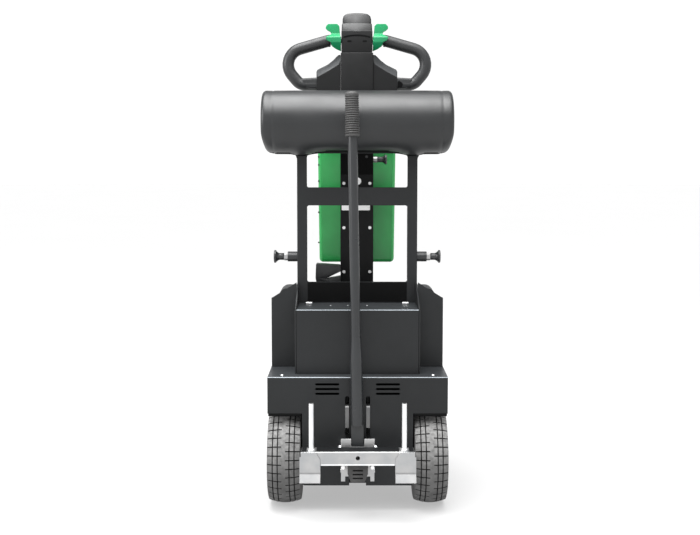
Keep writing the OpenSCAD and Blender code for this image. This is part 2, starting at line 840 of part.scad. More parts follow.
module foot_plate() {
    x = [foot_x - foot_half_w, foot_x + foot_half_w];
    top_z = bar_z + bar_h;
    intersection() {
        along(x) polygon([
            [bar_y, top_z], [bar_y - foot_t, top_z], [bar_y - foot_t, foot_bend_z],
            [bar_y - foot_lip - foot_t, foot_low_z], [bar_y - foot_lip, foot_low_z], [bar_y, foot_bend_z]
        ]);
        across([bar_y - foot_lip - foot_t - 1, bar_y + 1]) polygon([
            [x[0], foot_low_z - 1], [x[1], foot_low_z - 1], [x[1], top_z - 13], [x[1] - 3, top_z - 12],
            [x[1] - 3, top_z + 1], [prong_x - prong_r - 4, top_z + 1], [x[0] + 2, top_z - 16], [x[0], top_z - 22]
        ]);
    }
}

prong_y = bar_y + 12;

module prong() {
    top_z = bar_z + bar_h;
    rod_z(prong_r, prong_x, prong_y, [top_z - 1, top_z + prong_l]);
    translate([prong_x, prong_y, top_z]) cylinder(r1 = prong_r + 4, r2 = prong_r, h = 8);
}

// One ear of the carriage. It goes through the apron's slot to a slide on the guide rod.
module ear() {
    difference() {
        union() {
            along([slot_x - tab_half_w, slot_x + tab_half_w]) {
                translate([ear_y[0], ear_z[0]]) square([ear_y[1] - ear_y[0], ear_z[1] - ear_z[0]]);
                translate([ear_y[1] - weld, through_z[0]])
                    square([guide_y - ear_y[1] + weld, through_z[1] - through_z[0]]);
                translate([apron_y - 1, tab_z[0]]) square([guide_y - apron_y + 1, tab_z[1] - tab_z[0]]);
            }
            box(ear_lip_x, [ear_y[0], ear_y[0] + ear_lip_t], [bar_z, ear_z[1]]);
            box([slot_x + 5, ear_lip_x[1]], [ear_y[0], ear_y[0] + ear_lip_t], [ear_low_z, bar_z + weld]);
            box([slot_x, slot_x + 6], [ear_y[0], ear_y[0] + ear_lip_t], [ear_z[0], bar_z + weld]);
            rod_z(guide_boss_r, slot_x, guide_y, [through_z[0], tab_z[1]]);
        }
        rod_z(guide_r + run_gap, slot_x, guide_y, [through_z[0] - 1, tab_z[1] + 1]);
    }
}

washer_t = 4;
washer_r = 11;
pivot_head_r = 9.5;
pivot_head_t = 12;
pad_head_r = 9;
pad_head_t = 9;
bolt_tip = 3;

module hitch_bolts() {
    washer_x = slot_x + tab_half_w;
    head_x = washer_x + washer_t;
    pivot_end_x = head_x + pivot_head_t + bolt_tip;
    pad_end_x = washer_x + pad_head_t + bolt_tip;
    color([0.88, 0.89, 0.9]) {
        rod_x(pivot_bolt_r, [-pivot_end_x, pivot_end_x], pivot_y, pivot_z);
        rod_x(pad_bolt_r, [-pad_end_x, pad_end_x], pad_bolt_y, pad_bolt_z);
        pair() {
            rod_x(washer_r, [washer_x, head_x], pivot_y, pivot_z);
            hex_head(pivot_head_r, [head_x, head_x + pivot_head_t], pivot_y, pivot_z);
            hex_head(pad_head_r, [washer_x, washer_x + pad_head_t], pad_bolt_y, pad_bolt_z);
        }
    }
}

pad_half_w = 26;
pad_y = [ear_y[0] - 28, ear_y[0]];
pad_z = [bar_z - 47, bar_z];

module hitch_pad() {
    color(dark) difference() {
        across(pad_y) polygon([
            [-pad_half_w + 8, pad_z[0]], [pad_half_w - 8, pad_z[0]], [pad_half_w, pad_z[0] + 22],
            [pad_half_w, pad_z[1]], [-pad_half_w, pad_z[1]], [-pad_half_w, pad_z[0] + 22]
        ]);
        for (z = [pad_z[0] + 8 : 10 : pad_z[0] + 30]) box([-13, 13], [pad_y[0] - 1, pad_y[0] + 8], [z, z + 4]);
    }
}

lean_x = -0.95;
taper_z = [226, 286];
lever_foot_t = 16;
lever_foot_l = 62;

// Turns a piece drawn upright at the pivot into the lever's rest position
module at_lever() {
    translate([0, pivot_y, pivot_z]) rotate([-lever_lean, lean_x, 0]) children();
}

module hitch_lever() {
    color([0.16, 0.16, 0.17]) difference() {
        union() {
            rod_x(hub_r, [-hub_half_w, hub_half_w], pivot_y, pivot_z);
            at_lever() {
                box([-lever_foot_r, lever_foot_r], [-lever_foot_t / 2, lever_foot_t / 2], [0, lever_foot_l + weld]);
                translate([0, 0, lever_foot_l]) cylinder(r = lever_foot_r, h = taper_z[0] - lever_foot_l);
                translate([0, 0, taper_z[0]])
                    cylinder(r1 = lever_foot_r, r2 = lever_r, h = taper_z[1] - taper_z[0]);
                translate([0, 0, taper_z[0]]) cylinder(r = lever_r, h = lever_l - 8 - taper_z[0]);
            }
        }
        rod_x(pivot_bolt_r + run_gap, [-hub_half_w - 1, hub_half_w + 1], pivot_y, pivot_z);
    }
}

module lever_grip() {
    pitch = (grip_l - 12) / grip_ribs;
    low = lever_l - grip_l;
    color([0.13, 0.13, 0.14]) at_lever() difference() {
        union() {
            translate([0, 0, low]) cylinder(r = grip_r - 1.8, h = grip_l - 4);
            for (i = [0 : grip_ribs - 1]) translate([0, 0, low + i * pitch]) cylinder(r = grip_r, h = 0.6 * pitch);
            translate([0, 0, lever_l - 8]) cylinder(r1 = grip_r - 1, r2 = grip_r - 6, h = 8);
        }
        translate([0, 0, low - 1]) cylinder(r = lever_r + 0.02, h = grip_l - 6.9);
    }
}

// Index plungers

nut_l = 10;
nut_r = 11;
knob_reach = 28;

module plunger_knob(x, y, z, pin_r, knob_r, tip) {
    rod_x(pin_r, [x - tip, x + 2], y, z);
    rod_x(knob_r * 0.56, [x, x + knob_reach * 0.45], y, z);
    translate([x + knob_reach * 0.4, y, z]) rotate([0, 90, 0])
        cylinder(r1 = knob_r * 0.56, r2 = knob_r, h = knob_reach * 0.3);
    rod_x(knob_r, [x + knob_reach * 0.7 - 0.01, x + knob_reach], y, z);
}

module plunger_sleeves() {
    color(dark) pair() difference() {
        rod_x(plunger_sleeve_r, [upright_out, upright_out + plunger_sleeve_l], channel_y, plunger_z);
        rod_x(plunger_pin_r + run_gap, [upright_out - 1, upright_out + plunger_sleeve_l + 1], channel_y, plunger_z);
    }
}

module plunger_nuts() {
    nut_x = upright_out + plunger_sleeve_l;
    color(zinc) pair() hex_nut(nut_r, plunger_pin_r + run_gap, [nut_x, nut_x + nut_l], channel_y, plunger_z);
}

module plunger() {
    nut_x = upright_out + plunger_sleeve_l;
    color(dark) plunger_knob(
        nut_x + nut_l + gap, channel_y, plunger_z, plunger_pin_r, plunger_knob_r, nut_x + nut_l - upright_in - 10
    );
}

// Tiller

bracket_gap = 4;
bracket_t = 6;
bracket_x = mast_half_w + bracket_gap;
tilt_y = mast_y + mast_d / 2;
mast_low_z = tilt_z - 19;

module tiller_bracket() {
    color(charcoal) difference() {
        union() {
            box([-bracket_x - 20, bracket_x + 20], [mast_y - 6, mast_y + mast_d + 6], [deck_z, deck_z + 6]);
            pair() along([bracket_x, bracket_x + bracket_t]) {
                polygon([
                    [mast_y, deck_z + 5], [mast_y + mast_d, deck_z + 5],
                    [tilt_y + 17, tilt_z + 4], [tilt_y - 17, tilt_z + 4]
                ]);
                translate([tilt_y, tilt_z]) circle(18);
            }
        }
        rod_x(tilt_pin_r + run_gap, [-2 * bracket_x, 2 * bracket_x], tilt_y, tilt_z);
    }
}

module tiller_pin() {
    end_x = bracket_x + bracket_t;
    color(zinc) {
        rod_x(tilt_pin_r, [-end_x - 1, end_x + 1], tilt_y, tilt_z);
        pair() rod_x(tilt_pin_r + 5, [end_x, end_x + 4], tilt_y, tilt_z);
    }
}

spring_r = tilt_pin_r + 5;

module tiller_spring() {
    color([0.3, 0.3, 0.32]) difference() {
        rod_x(spring_r, [-30, 30], tilt_y, tilt_z);
        rod_x(tilt_pin_r + gap, [-31, 31], tilt_y, tilt_z);
    }
}

screw_r = 2.5;
screw_head_r = 4.5;
screw_rows = 5;
screw_x = mast_half_w - 10;
plate_low_z = mast_plate_z - 25 - (screw_rows - 1) * mast_screw_gap - 15;

module mast_screw_places() {
    for (side = [-1, 1], row = [0 : screw_rows - 1])
        translate([side * screw_x, 0, mast_plate_z - 25 - row * mast_screw_gap]) children();
}

mast_plunger_pin_r = 4;

module outer_mast() {
    color(charcoal) difference() {
        union() {
            box([-mast_half_w, mast_half_w], [mast_y, mast_y + mast_d], [mast_low_z, mast_top_z]);
            pair() rod_x(tilt_pin_r + 8, [mast_half_w - weld, bracket_x - gap], tilt_y, tilt_z);
        }
        box([mast_wall - mast_half_w, mast_half_w - mast_wall],
            [mast_y + mast_wall, mast_y + mast_d - mast_wall], [mast_low_z - 1, mast_top_z + 1]);
        rod_x(tilt_pin_r + run_gap, [-2 * bracket_x, 2 * bracket_x], tilt_y, tilt_z);
        rod_x(mast_plunger_pin_r + run_gap, [0, 2 * mast_half_w], tilt_y, mast_plunger_z);
        mast_screw_places() rod_y(screw_r + run_gap, 0, [mast_y - 1, mast_y + mast_wall + 1], 0);
    }
}

mast_plate_t = 3;

module mast_plate() {
    color(dark) difference() {
        box([-mast_half_w, mast_half_w], [mast_y - mast_plate_t, mast_y], [plate_low_z, mast_plate_z]);
        mast_screw_places() rod_y(screw_r + run_gap, 0, [mast_y - mast_plate_t - 1, mast_y + 1], 0);
    }
}

module mast_screws() {
    head_y = mast_y - mast_plate_t;
    color([0.88, 0.89, 0.9]) mast_screw_places() {
        rod_y(screw_head_r, 0, [head_y - 2.5, head_y], 0);
        rod_y(screw_r, 0, [head_y - 1, mast_y + mast_wall], 0);
    }
}

back_wall = 3;
back_round = 14;
back_corner = 20;
back_y = [mast_y + mast_d, mast_y + mast_d + back_d];

module back_block(inset) {
    r = back_round - inset;
    c = back_corner;
    x = back_half_w - inset;
    z = [back_low_z + inset, back_high_z - inset];
    intersection() {
        translate([0, 0, z[0]]) linear_extrude(z[1] - z[0])
            soft_rect([-x, x], [back_y[0] + inset, back_y[1] - inset], r);
        across([back_y[0], back_y[1]]) pair_2d() {
            polygon([[0, z[0]], [x - c - 5, z[0]], [x - 5, z[0] + c], [x, z[1] - 40], [x - 12, z[1]], [0, z[1]]]);
            translate([x - c - 5, z[0] + c]) circle(c);
        }
    }
}

module green_cover() {
    color(green) difference() {
        back_block(0);
        back_block(back_wall);
        box([10 - mast_half_w, mast_half_w - 10], [back_y[0] - 1, back_y[0] + back_wall + 1],
            [back_low_z + 20, mast_top_z - 20]);
    }
}

module mast_plunger_sleeve() {
    color([0.6, 0.6, 0.62]) difference() {
        rod_x(9, [mast_half_w, mast_half_w + 12], tilt_y, mast_plunger_z);
        rod_x(mast_plunger_pin_r + run_gap, [mast_half_w - 1, mast_half_w + 13], tilt_y, mast_plunger_z);
    }
}

inner_wall = 3;
inner_half_w = mast_half_w - mast_wall - gap;
inner_mast_y = [mast_y + mast_wall + gap, mast_y + mast_d - mast_wall - gap];
inner_low_z = mast_plunger_z - mast_travel - 167;
head_pocket = 80;
head_pocket_z = head_z + head_pocket;

module mast_plunger() {
    knob_x = mast_half_w + 12 + gap;
    color(dark) plunger_knob(
        knob_x, tilt_y, mast_plunger_z, mast_plunger_pin_r, 14.5, knob_x - inner_half_w + inner_wall - 1
    );
}

module inner_mast() {
    slot_half_w = mast_plunger_pin_r + gap;
    color(dark) difference() {
        box([-inner_half_w, inner_half_w], inner_mast_y, [inner_low_z, head_pocket_z]);
        box([inner_wall - inner_half_w, inner_half_w - inner_wall],
            [inner_mast_y[0] + inner_wall, inner_mast_y[1] - inner_wall], [inner_low_z - 1, head_pocket_z + 1]);
        box([0, mast_half_w], [tilt_y - slot_half_w, tilt_y + slot_half_w],
            [mast_plunger_z - mast_travel - slot_half_w, mast_plunger_z + slot_half_w]);
    }
}

// Steering head

head_y = [tilt_y - head_d / 2, tilt_y + head_d / 2];
throttle_y = tilt_y - 22;
cap_half_w = 43.5;
cap_wall = 3;
button_half_w = cap_half_w - cap_wall;
button_travel = 5;
button_low_z = head_top_z - 17;
shoulder_x = 117;
shoulder_top_z = throttle_z - 44;
shoulder_end_z = [throttle_z - 150, throttle_z - 84];
shaft_end_x = 76;
throttle_shaft_r = 6;
horn_z = throttle_z - 90;
horn_r = 10;
horn_travel = 3;

module head_shell() {
    color([0.19, 0.19, 0.2]) difference() {
        union() {
            across(head_y) polygon([
                [-head_half_w + 4, head_z], [head_half_w - 4, head_z], [head_half_w, head_z + 6],
                [head_half_w, shoulder_top_z + 6], [cap_half_w, shoulder_top_z + 12], [cap_half_w, head_top_z],
                [-cap_half_w, head_top_z], [-cap_half_w, shoulder_top_z + 12], [-head_half_w, shoulder_top_z + 6],
                [-head_half_w, head_z + 6]
            ]);
            pair() across([head_y[0] + 4, head_y[1] - 28]) polygon([
                [head_half_w - weld, shoulder_end_z[0] - 28], [shoulder_x - 8, shoulder_end_z[0]],
                [shoulder_x, shoulder_end_z[0] + 6], [shoulder_x, shoulder_end_z[1]],
                [head_half_w - weld, shoulder_top_z]
            ]);
            pair() rod_x(throttle_shaft_r, [cap_half_w - 2, shaft_end_x], throttle_y, throttle_z);
        }
        box([-inner_half_w - 0.05, inner_half_w + 0.05], [inner_mast_y[0] - 0.05, inner_mast_y[1] + 0.05],
            [head_z - 1, head_pocket_z]);
        box([-button_half_w - gap, button_half_w + gap], [head_y[0] + 5 - gap, head_y[1] - 5 + gap],
            [button_low_z - button_travel - gap, head_top_z + 1]);
        rod_y(horn_r + gap, 0, [head_y[1] - 6 - horn_travel - gap, head_y[1] + 1], horn_z);
    }
}

function turn(a, b) = atan2(a[0] * b[1] - a[1] * b[0], a * b);
function heading(v) = atan2(v[1], v[0]);
function leg(route, i) = (route[i + 1] - route[i]) / norm(route[i + 1] - route[i]);

// Places round one corner of a route, each with its heading
function corner(p, a, b, r, steps) =
    let (
        t = turn(a, b),
        side = sign(t),
        centre = p - a * r * tan(abs(t) / 2) + [-a[1], a[0]] * side * r
    )
    [for (k = [0 : steps]) let (h = heading(a) + t * k / steps)
        [centre[0] + side * r * sin(h), centre[1] - side * r * cos(h), h]];

// Places along a route with rounded corners, from its first point to its last
function rounded_route(route, bends, steps) =
    let (last = len(route) - 1)
    concat(
        [[route[0][0], route[0][1], heading(leg(route, 0))]],
        [for (i = [1 : last - 1]) each corner(route[i], leg(route, i - 1), leg(route, i), bends[i - 1], steps)],
        [[route[last][0], route[last][1], heading(leg(route, last - 1))]]
    );

// A round tube along a rounded route in X and Z
module bent_tube(r, route, bends, steps, sides) {
    places = rounded_route(route, bends, steps);
    rings = len(places);
    points = [for (p = places, k = [0 : sides - 1]) let (a = 360 * k / sides)
        [p[0] - r * cos(a) * sin(p[2]), r * sin(a), p[1] + r * cos(a) * cos(p[2])]];
    walls = [for (i = [0 : rings - 2], k = [0 : sides - 1]) let (
            a = i * sides + k, b = i * sides + (k + 1) % sides, c = a + sides, d = b + sides
        ) each [[a, b, c], [b, d, c]]];
    ends = [[for (k = [sides - 1 : -1 : 0]) k], [for (k = [0 : sides - 1]) (rings - 1) * sides + k]];
    polyhedron(points = points, faces = concat(walls, ends));
}

loop_h = 125;
loop_lead = 8;
loop_corner_out = 38;
loop_corner_drop = 43;
loop_foot_l = 47;
loop_foot_z = throttle_z - loop_h;
loop_route = [
    [shaft_end_x, throttle_z], [shaft_end_x + loop_lead, throttle_z],
    [loop_reach + loop_corner_out, throttle_z - loop_corner_drop],
    [shoulder_x + loop_foot_l, loop_foot_z], [shoulder_x, loop_foot_z]
];
loop_bends = [30, 47, 30];
loop_steps = 8;
loop_sides = 16;

module handle_loops() {
    color([0.22, 0.22, 0.23]) pair() translate([0, throttle_y, 0])
        bent_tube(loop_r, loop_route, loop_bends, loop_steps, loop_sides);
}

wing_t = 8;
throttle_hub_r = 13;
paddle_y = [throttle_y - loop_r - 7.5, throttle_y - loop_r - 1.5];

module throttle() {
    x = [cap_half_w + 1.5, shaft_end_x - gap];
    z = throttle_z;
    color(green) difference() {
        union() {
            rod_x(throttle_hub_r, x, throttle_y, z);
            across([throttle_y - wing_t / 2, throttle_y + wing_t / 2]) polygon([
                [50, z], [49, z + 26], [52, z + 42], [59, z + 46], [86, z + 46], [91, z + 40],
                [90, z + 31], [84, z + 26], [76, z + 22], [72, z + 14], [72, z]
            ]);
            across(paddle_y) polygon([
                [46, z + 8], [45, z - 22], [50, z - 30], [60, z - 28], [70, z - 20], [78, z - 10], [91, z],
                [92, z + 5], [86, z + 8]
            ]);
            box([50, 68], [paddle_y[0] + 1, throttle_y - 4], [z - 8, z + 4]);
        }
        rod_x(throttle_shaft_r + run_gap, [x[0] - 5, x[1] + 5], throttle_y, z);
    }
}

module cap_button() {
    y = [head_y[0] + 5, head_y[1] - 5];
    color([0.3, 0.3, 0.31]) across(y)
        soft_rect([-button_half_w, button_half_w], [button_low_z, button_top_z], 12);
}

module horn_button() {
    color(green) rod_y(horn_r, 0, [head_y[1] - 6, head_y[1] + 5], horn_z);
}

// Controls on the rear face of the hood

control_drop = 62;
socket_drop = 90;
key_base_r = 15;
key_base_t = 9;
stop_base_r = 24;
stop_base_t = 10;
control_z = hood_z - control_drop;
key_x = 150;
stop_x = -150;
key_r = 6;
stem_r = 8;
stop_travel = 4;

module switch_bases() {
    color(dark) {
        difference() {
            rod_y(key_base_r, key_x, [hood_rear_y, hood_rear_y + key_base_t], control_z);
            rod_y(key_r + run_gap, key_x, [hood_rear_y + 1, hood_rear_y + key_base_t + 1], control_z);
        }
        difference() {
            rod_y(stop_base_r, stop_x, [hood_rear_y, hood_rear_y + stop_base_t], control_z);
            rod_y(stem_r + run_gap, stop_x, [hood_rear_y + 1, hood_rear_y + stop_base_t + 1], control_z);
        }
    }
}

module key() {
    color(zinc) {
        rod_y(key_r, key_x, [hood_rear_y + 1.4, hood_rear_y + 12], control_z);
        box([key_x - 1.2, key_x + 1.2], [hood_rear_y + 11, hood_rear_y + 32], [control_z - 9, control_z + 9]);
    }
}

module stop_button() {
    color([0.8, 0.1, 0.08]) {
        rod_y(stem_r, stop_x, [hood_rear_y + 2 + stop_travel, hood_rear_y + 18], control_z);
        translate([stop_x, hood_rear_y + 16, control_z]) rotate([-90, 0, 0]) cylinder(r1 = 17, r2 = 20, h = 7);
        rod_y(20, stop_x, [hood_rear_y + 23 - 0.01, hood_rear_y + 30], control_z);
    }
}

module charge_socket() {
    z = control_z - socket_drop;
    color(dark) difference() {
        across([hood_rear_y, hood_rear_y + 14]) soft_rect([key_x - 24, key_x + 24], [z - 18, z + 18], 6);
        across([hood_rear_y + 3, hood_rear_y + 15]) soft_rect([key_x - 18, key_x + 18], [z - 12, z + 12], 3);
    }
}

chassis_tub();
apron();
side_wings();
front_cover();
bumper_frame();
bumper_roll();
rear_hood();
batteries();
battery_link();
battery_plug();
motor_controller();
transaxle();
drive_motor();
motor_brake();
guide_rods();
tiller_bracket();
tiller_pin();
tiller_spring();
switch_bases();
charge_socket();
plunger_sleeves();
plunger_nuts();
caster_plates();
caster_bolts();
on_side(-1) tyre();  // tyre_left
on_side(1) tyre();  // tyre_right
on_side(-1) rim();  // rim_left
on_side(1) rim();  // rim_right
on_side(-1) half_shaft();  // half_shaft_left
on_side(1) half_shaft();  // half_shaft_right
on_side(-1) wheel_nuts();  // wheel_nuts_left
on_side(1) wheel_nuts();  // wheel_nuts_right
on_side(-1) caster_fork();  // caster_fork_left
on_side(1) caster_fork();  // caster_fork_right
on_side(-1) caster_wheel();  // caster_wheel_left
on_side(1) caster_wheel();  // caster_wheel_right
on_side(-1) caster_axle();  // caster_axle_left
on_side(1) caster_axle();  // caster_axle_right
hitch_carriage();
hitch_bolts();
hitch_pad();
hitch_lever();
lever_grip();
on_side(-1) plunger();  // plunger_left
on_side(1) plunger();  // plunger_right
outer_mast();
mast_plate();
mast_screws();
green_cover();
mast_plunger_sleeve();
mast_plunger();
inner_mast();
head_shell();
handle_loops();
on_side(-1) throttle();  // throttle_left
on_side(1) throttle();  // throttle_right
cap_button();
horn_button();
key();
stop_button();
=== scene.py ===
# Looks of the electric tow tug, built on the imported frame.
# X is across the tug, -Y is the hitch end, +Y is the operator's end, Z is up. Sizes are in metres.
import json
import math

import bmesh
import bpy
from bmesh.types import BMEdge, BMFace, BMVert
from mathutils import Matrix, Vector

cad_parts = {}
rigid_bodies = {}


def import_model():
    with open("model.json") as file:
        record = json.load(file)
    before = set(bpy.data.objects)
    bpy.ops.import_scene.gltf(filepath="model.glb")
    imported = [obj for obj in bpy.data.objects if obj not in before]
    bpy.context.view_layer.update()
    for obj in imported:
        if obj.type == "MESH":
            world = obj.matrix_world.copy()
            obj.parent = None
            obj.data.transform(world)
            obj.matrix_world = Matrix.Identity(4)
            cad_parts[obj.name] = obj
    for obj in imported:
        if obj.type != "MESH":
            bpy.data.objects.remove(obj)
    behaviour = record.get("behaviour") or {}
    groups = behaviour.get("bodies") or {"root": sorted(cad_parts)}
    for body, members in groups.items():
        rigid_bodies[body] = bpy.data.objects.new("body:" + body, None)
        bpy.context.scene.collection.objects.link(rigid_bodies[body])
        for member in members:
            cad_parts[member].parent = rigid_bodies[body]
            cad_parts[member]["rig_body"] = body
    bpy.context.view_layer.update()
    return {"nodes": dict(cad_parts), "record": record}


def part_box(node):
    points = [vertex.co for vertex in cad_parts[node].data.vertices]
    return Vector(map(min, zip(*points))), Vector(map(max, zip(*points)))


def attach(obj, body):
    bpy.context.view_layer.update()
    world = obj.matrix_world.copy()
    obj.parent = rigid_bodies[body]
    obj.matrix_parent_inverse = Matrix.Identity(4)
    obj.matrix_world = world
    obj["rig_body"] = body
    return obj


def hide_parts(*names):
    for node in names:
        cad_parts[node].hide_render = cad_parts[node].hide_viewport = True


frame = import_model()
cad = frame["nodes"]


# Camera

eye = Vector((-0.0199, -2.698, 0.919))
focal_px = 971
image_w_px = 700
sensor_w = 36
tilt_down = 3.727
shift_up = -0.060


def place_camera():
    data = bpy.data.cameras.new("photo_camera")
    data.sensor_width = sensor_w
    data.lens = focal_px / image_w_px * sensor_w
    data.shift_y = shift_up
    camera = bpy.data.objects.new("photo_camera", data)
    camera.location = eye
    camera.rotation_euler = (math.radians(90 - tilt_down), 0, 0)
    bpy.context.scene.collection.objects.link(camera)
    bpy.context.scene.camera = camera


place_camera()


# Finishes

tyre_r = 0.130
tyre_x = 0.1935
axle_y = -0.100
crown_r = 0.110
tread_half_w = 0.042
groove_depth = (0.0004, 0.0013)
top_light_z = (0.08, 0.235)


class Finish:
    """A procedural material, with short calls for the nodes it is built from."""

    def __init__(self, name, colour, roughness, metallic=0.0, shine=0.5):
        self.material = bpy.data.materials.new(name)
        self.material.use_nodes = True
        self.nodes = self.material.node_tree.nodes
        self.links = self.material.node_tree.links
        self.shader = self.nodes["Principled BSDF"]
        self.shader.inputs["Base Color"].default_value = (*colour, 1)
        self.shader.inputs["Roughness"].default_value = roughness
        self.shader.inputs["Metallic"].default_value = metallic
        self.shader.inputs["Specular IOR Level"].default_value = shine
        self.place = self.nodes.new("ShaderNodeTexCoord").outputs["Object"]

    def noise(self, scale, detail=3.0, stretch=None):
        place = self.place
        if stretch:
            mapping = self.nodes.new("ShaderNodeMapping")
            mapping.inputs["Scale"].default_value = stretch
            self.links.new(self.place, mapping.inputs["Vector"])
            place = mapping.outputs["Vector"]
        node = self.nodes.new("ShaderNodeTexNoise")
        node.inputs["Scale"].default_value = scale
        node.inputs["Detail"].default_value = detail
        self.links.new(place, node.inputs["Vector"])
        return node.outputs["Fac"]

    def cells(self, scale):
        node = self.nodes.new("ShaderNodeTexVoronoi")
        node.inputs["Scale"].default_value = scale
        self.links.new(self.place, node.inputs["Vector"])
        return node.outputs["Distance"]

    def coordinates(self):
        """The place in the piece's own frame, as outputs X, Y and Z."""
        node = self.nodes.new("ShaderNodeSeparateXYZ")
        self.links.new(self.place, node.inputs["Vector"])
        return node.outputs

    def fitted(self, value, low, high, new_low=0.0, new_high=1.0):
        """A value brought from one range to another."""
        node = self.nodes.new("ShaderNodeMapRange")
        node.inputs["From Min"].default_value = low
        node.inputs["From Max"].default_value = high
        node.inputs["To Min"].default_value = new_low
        node.inputs["To Max"].default_value = new_high
        self.links.new(value, node.inputs["Value"])
        return node.outputs["Result"]

    def colours(self, factor, dark, light, low=0.35, high=0.65):
        node = self.nodes.new("ShaderNodeValToRGB")
        node.color_ramp.elements[0].position = low
        node.color_ramp.elements[0].color = (*dark, 1)
        node.color_ramp.elements[1].position = high
        node.color_ramp.elements[1].color = (*light, 1)
        self.links.new(factor, node.inputs["Fac"])
        return node.outputs["Color"]

    def blend(self, factor, first, second):
        node = self.nodes.new("ShaderNodeMix")
        node.data_type = "RGBA"
        self.links.new(factor, node.inputs["Factor"])
        self.links.new(first, node.inputs["A"])
        self.links.new(second, node.inputs["B"])
        return node.outputs["Result"]

    def paint(self, colour):
        self.links.new(colour, self.shader.inputs["Base Color"])

    def sheen_of(self, factor, low, high):
        """Roughness that wanders between two values."""
        self.links.new(self.fitted(factor, 0.3, 0.7, low, high), self.shader.inputs["Roughness"])

    def combine(self, operation, first, second=0):
        """One step of arithmetic on outputs or plain numbers."""
        node = self.nodes.new("ShaderNodeMath")
        node.operation = operation
        for socket, value in zip(node.inputs, (first, second)):
            if isinstance(value, (int, float)):
                socket.default_value = value
            else:
                self.links.new(value, socket)
        return node.outputs["Value"]

    def bump(self, factor, depth, strength=0.5):
        node = self.nodes.new("ShaderNodeBump")
        node.inputs["Strength"].default_value = strength
        node.inputs["Distance"].default_value = depth
        self.links.new(factor, node.inputs["Height"])
        self.links.new(node.outputs["Normal"], self.shader.inputs["Normal"])


def grey(value, warmth=0.0):
    return (value * (1 + warmth), value, value * (1 - warmth))


def powder_coat(name, level, shine=0.36, rough=0.42):
    finish = Finish(name, grey(level), rough, shine=shine)
    finish.paint(finish.colours(finish.noise(5, 4), grey(level * 0.85, -0.09), grey(level * 1.2, -0.09)))
    finish.sheen_of(finish.noise(22, 4), rough, rough + 0.14)
    finish.bump(finish.noise(900, 2), 0.0002, 0.35)
    return finish.material


def zinc_plate(name, level):
    finish = Finish(name, grey(level, -0.01), 0.34, 0.85)
    tint = finish.colours(finish.noise(26, 5), grey(level * 0.86, -0.02), grey(level, 0.004))
    finish.paint(tint)
    finish.sheen_of(finish.noise(60, 3), 0.28, 0.42)
    finish.bump(finish.noise(480, 3), 0.00012, 0.3)
    return finish.material


def groove_shade_mask(finish):
    """Where the tread lies lower than the tyre's crown, which is a circle across its width; the tyre is
    painted near black there as shade in the grooves.
    """
    combine = finish.combine
    place = finish.coordinates()
    side = combine("SUBTRACT", combine("ABSOLUTE", place["X"]), tyre_x)
    back = combine("SUBTRACT", place["Y"], axle_y)
    up = combine("SUBTRACT", place["Z"], tyre_r)
    reach = combine("SQRT", combine("ADD", combine("POWER", back, 2), combine("POWER", up, 2)))
    across = combine("SUBTRACT", crown_r ** 2, combine("MULTIPLY", side, side))
    crown = combine("ADD", combine("SQRT", across), tyre_r - crown_r)
    lowered = finish.fitted(combine("SUBTRACT", crown, reach), *groove_depth)
    on_tread = combine("LESS_THAN", combine("ABSOLUTE", side), tread_half_w)
    return combine("MULTIPLY", lowered, on_tread)


def tyre_rubber():
    finish = Finish("tyre_rubber", grey(0.11), 0.8)
    # The tread is darker low down and lighter towards the top, painted shade and light from above; the
    # lighter colour also carries dusty grain.
    painted_shading = finish.colours(finish.noise(38, 5), grey(0.070, 0.01), grey(0.11, 0.01))
    dust_and_top_light = finish.colours(finish.noise(120, 4), grey(0.13, 0.01), grey(0.24, 0.01))
    tread = finish.blend(finish.fitted(finish.coordinates()["Z"], *top_light_z), painted_shading, dust_and_top_light)
    # Near black in the grooves, painted shade.
    black = finish.colours(finish.noise(60, 2), grey(0.002), grey(0.005))
    finish.paint(finish.blend(groove_shade_mask(finish), tread, black))
    finish.sheen_of(finish.noise(70, 3), 0.72, 0.9)
    finish.bump(finish.noise(700, 3), 0.0004, 0.4)
    return finish.material


def soft_rubber(name, level):
    finish = Finish(name, grey(level), 0.62)
    finish.paint(finish.colours(finish.noise(30, 4), grey(level * 0.8), grey(level * 1.25, 0.02)))
    finish.sheen_of(finish.noise(90, 3), 0.5, 0.7)
    finish.bump(finish.noise(1100, 2), 0.0002, 0.35)
    return finish.material


def roll_vinyl():
    finish = Finish("roll_vinyl", grey(0.014, -0.06), 0.32)
    finish.paint(finish.colours(finish.noise(7, 5), grey(0.012, -0.07), grey(0.016, -0.07)))
    finish.sheen_of(finish.noise(16, 4), 0.33, 0.43)
    finish.bump(finish.cells(620), 0.00022, 0.22)
    return finish.material


def moulded_plastic(name, level, rough=0.42, shine=0.36):
    finish = Finish(name, grey(level, -0.05), rough, shine=shine)
    finish.paint(finish.colours(finish.noise(14, 4), grey(level * 0.88, -0.05), grey(level * 1.14, -0.05)))
    finish.sheen_of(finish.noise(50, 3), rough - 0.05, rough + 0.07)
    finish.bump(finish.noise(1500, 2), 0.00014, 0.14)
    return finish.material


def tinted_plastic(name, dark, light, rough):
    finish = Finish(name, light, rough)
    finish.paint(finish.colours(finish.noise(9, 3), dark, light))
    finish.sheen_of(finish.noise(45, 3), rough - 0.04, rough + 0.06)
    finish.bump(finish.noise(1300, 2), 0.00012, 0.25)
    return finish.material


def bare_metal(name, dark, light, rough):
    finish = Finish(name, light, rough, 0.9)
    finish.paint(finish.colours(finish.noise(55, 4), dark, light))
    finish.sheen_of(finish.noise(300, 2, (1, 14, 14)), rough - 0.08, rough + 0.08)
    return finish.material


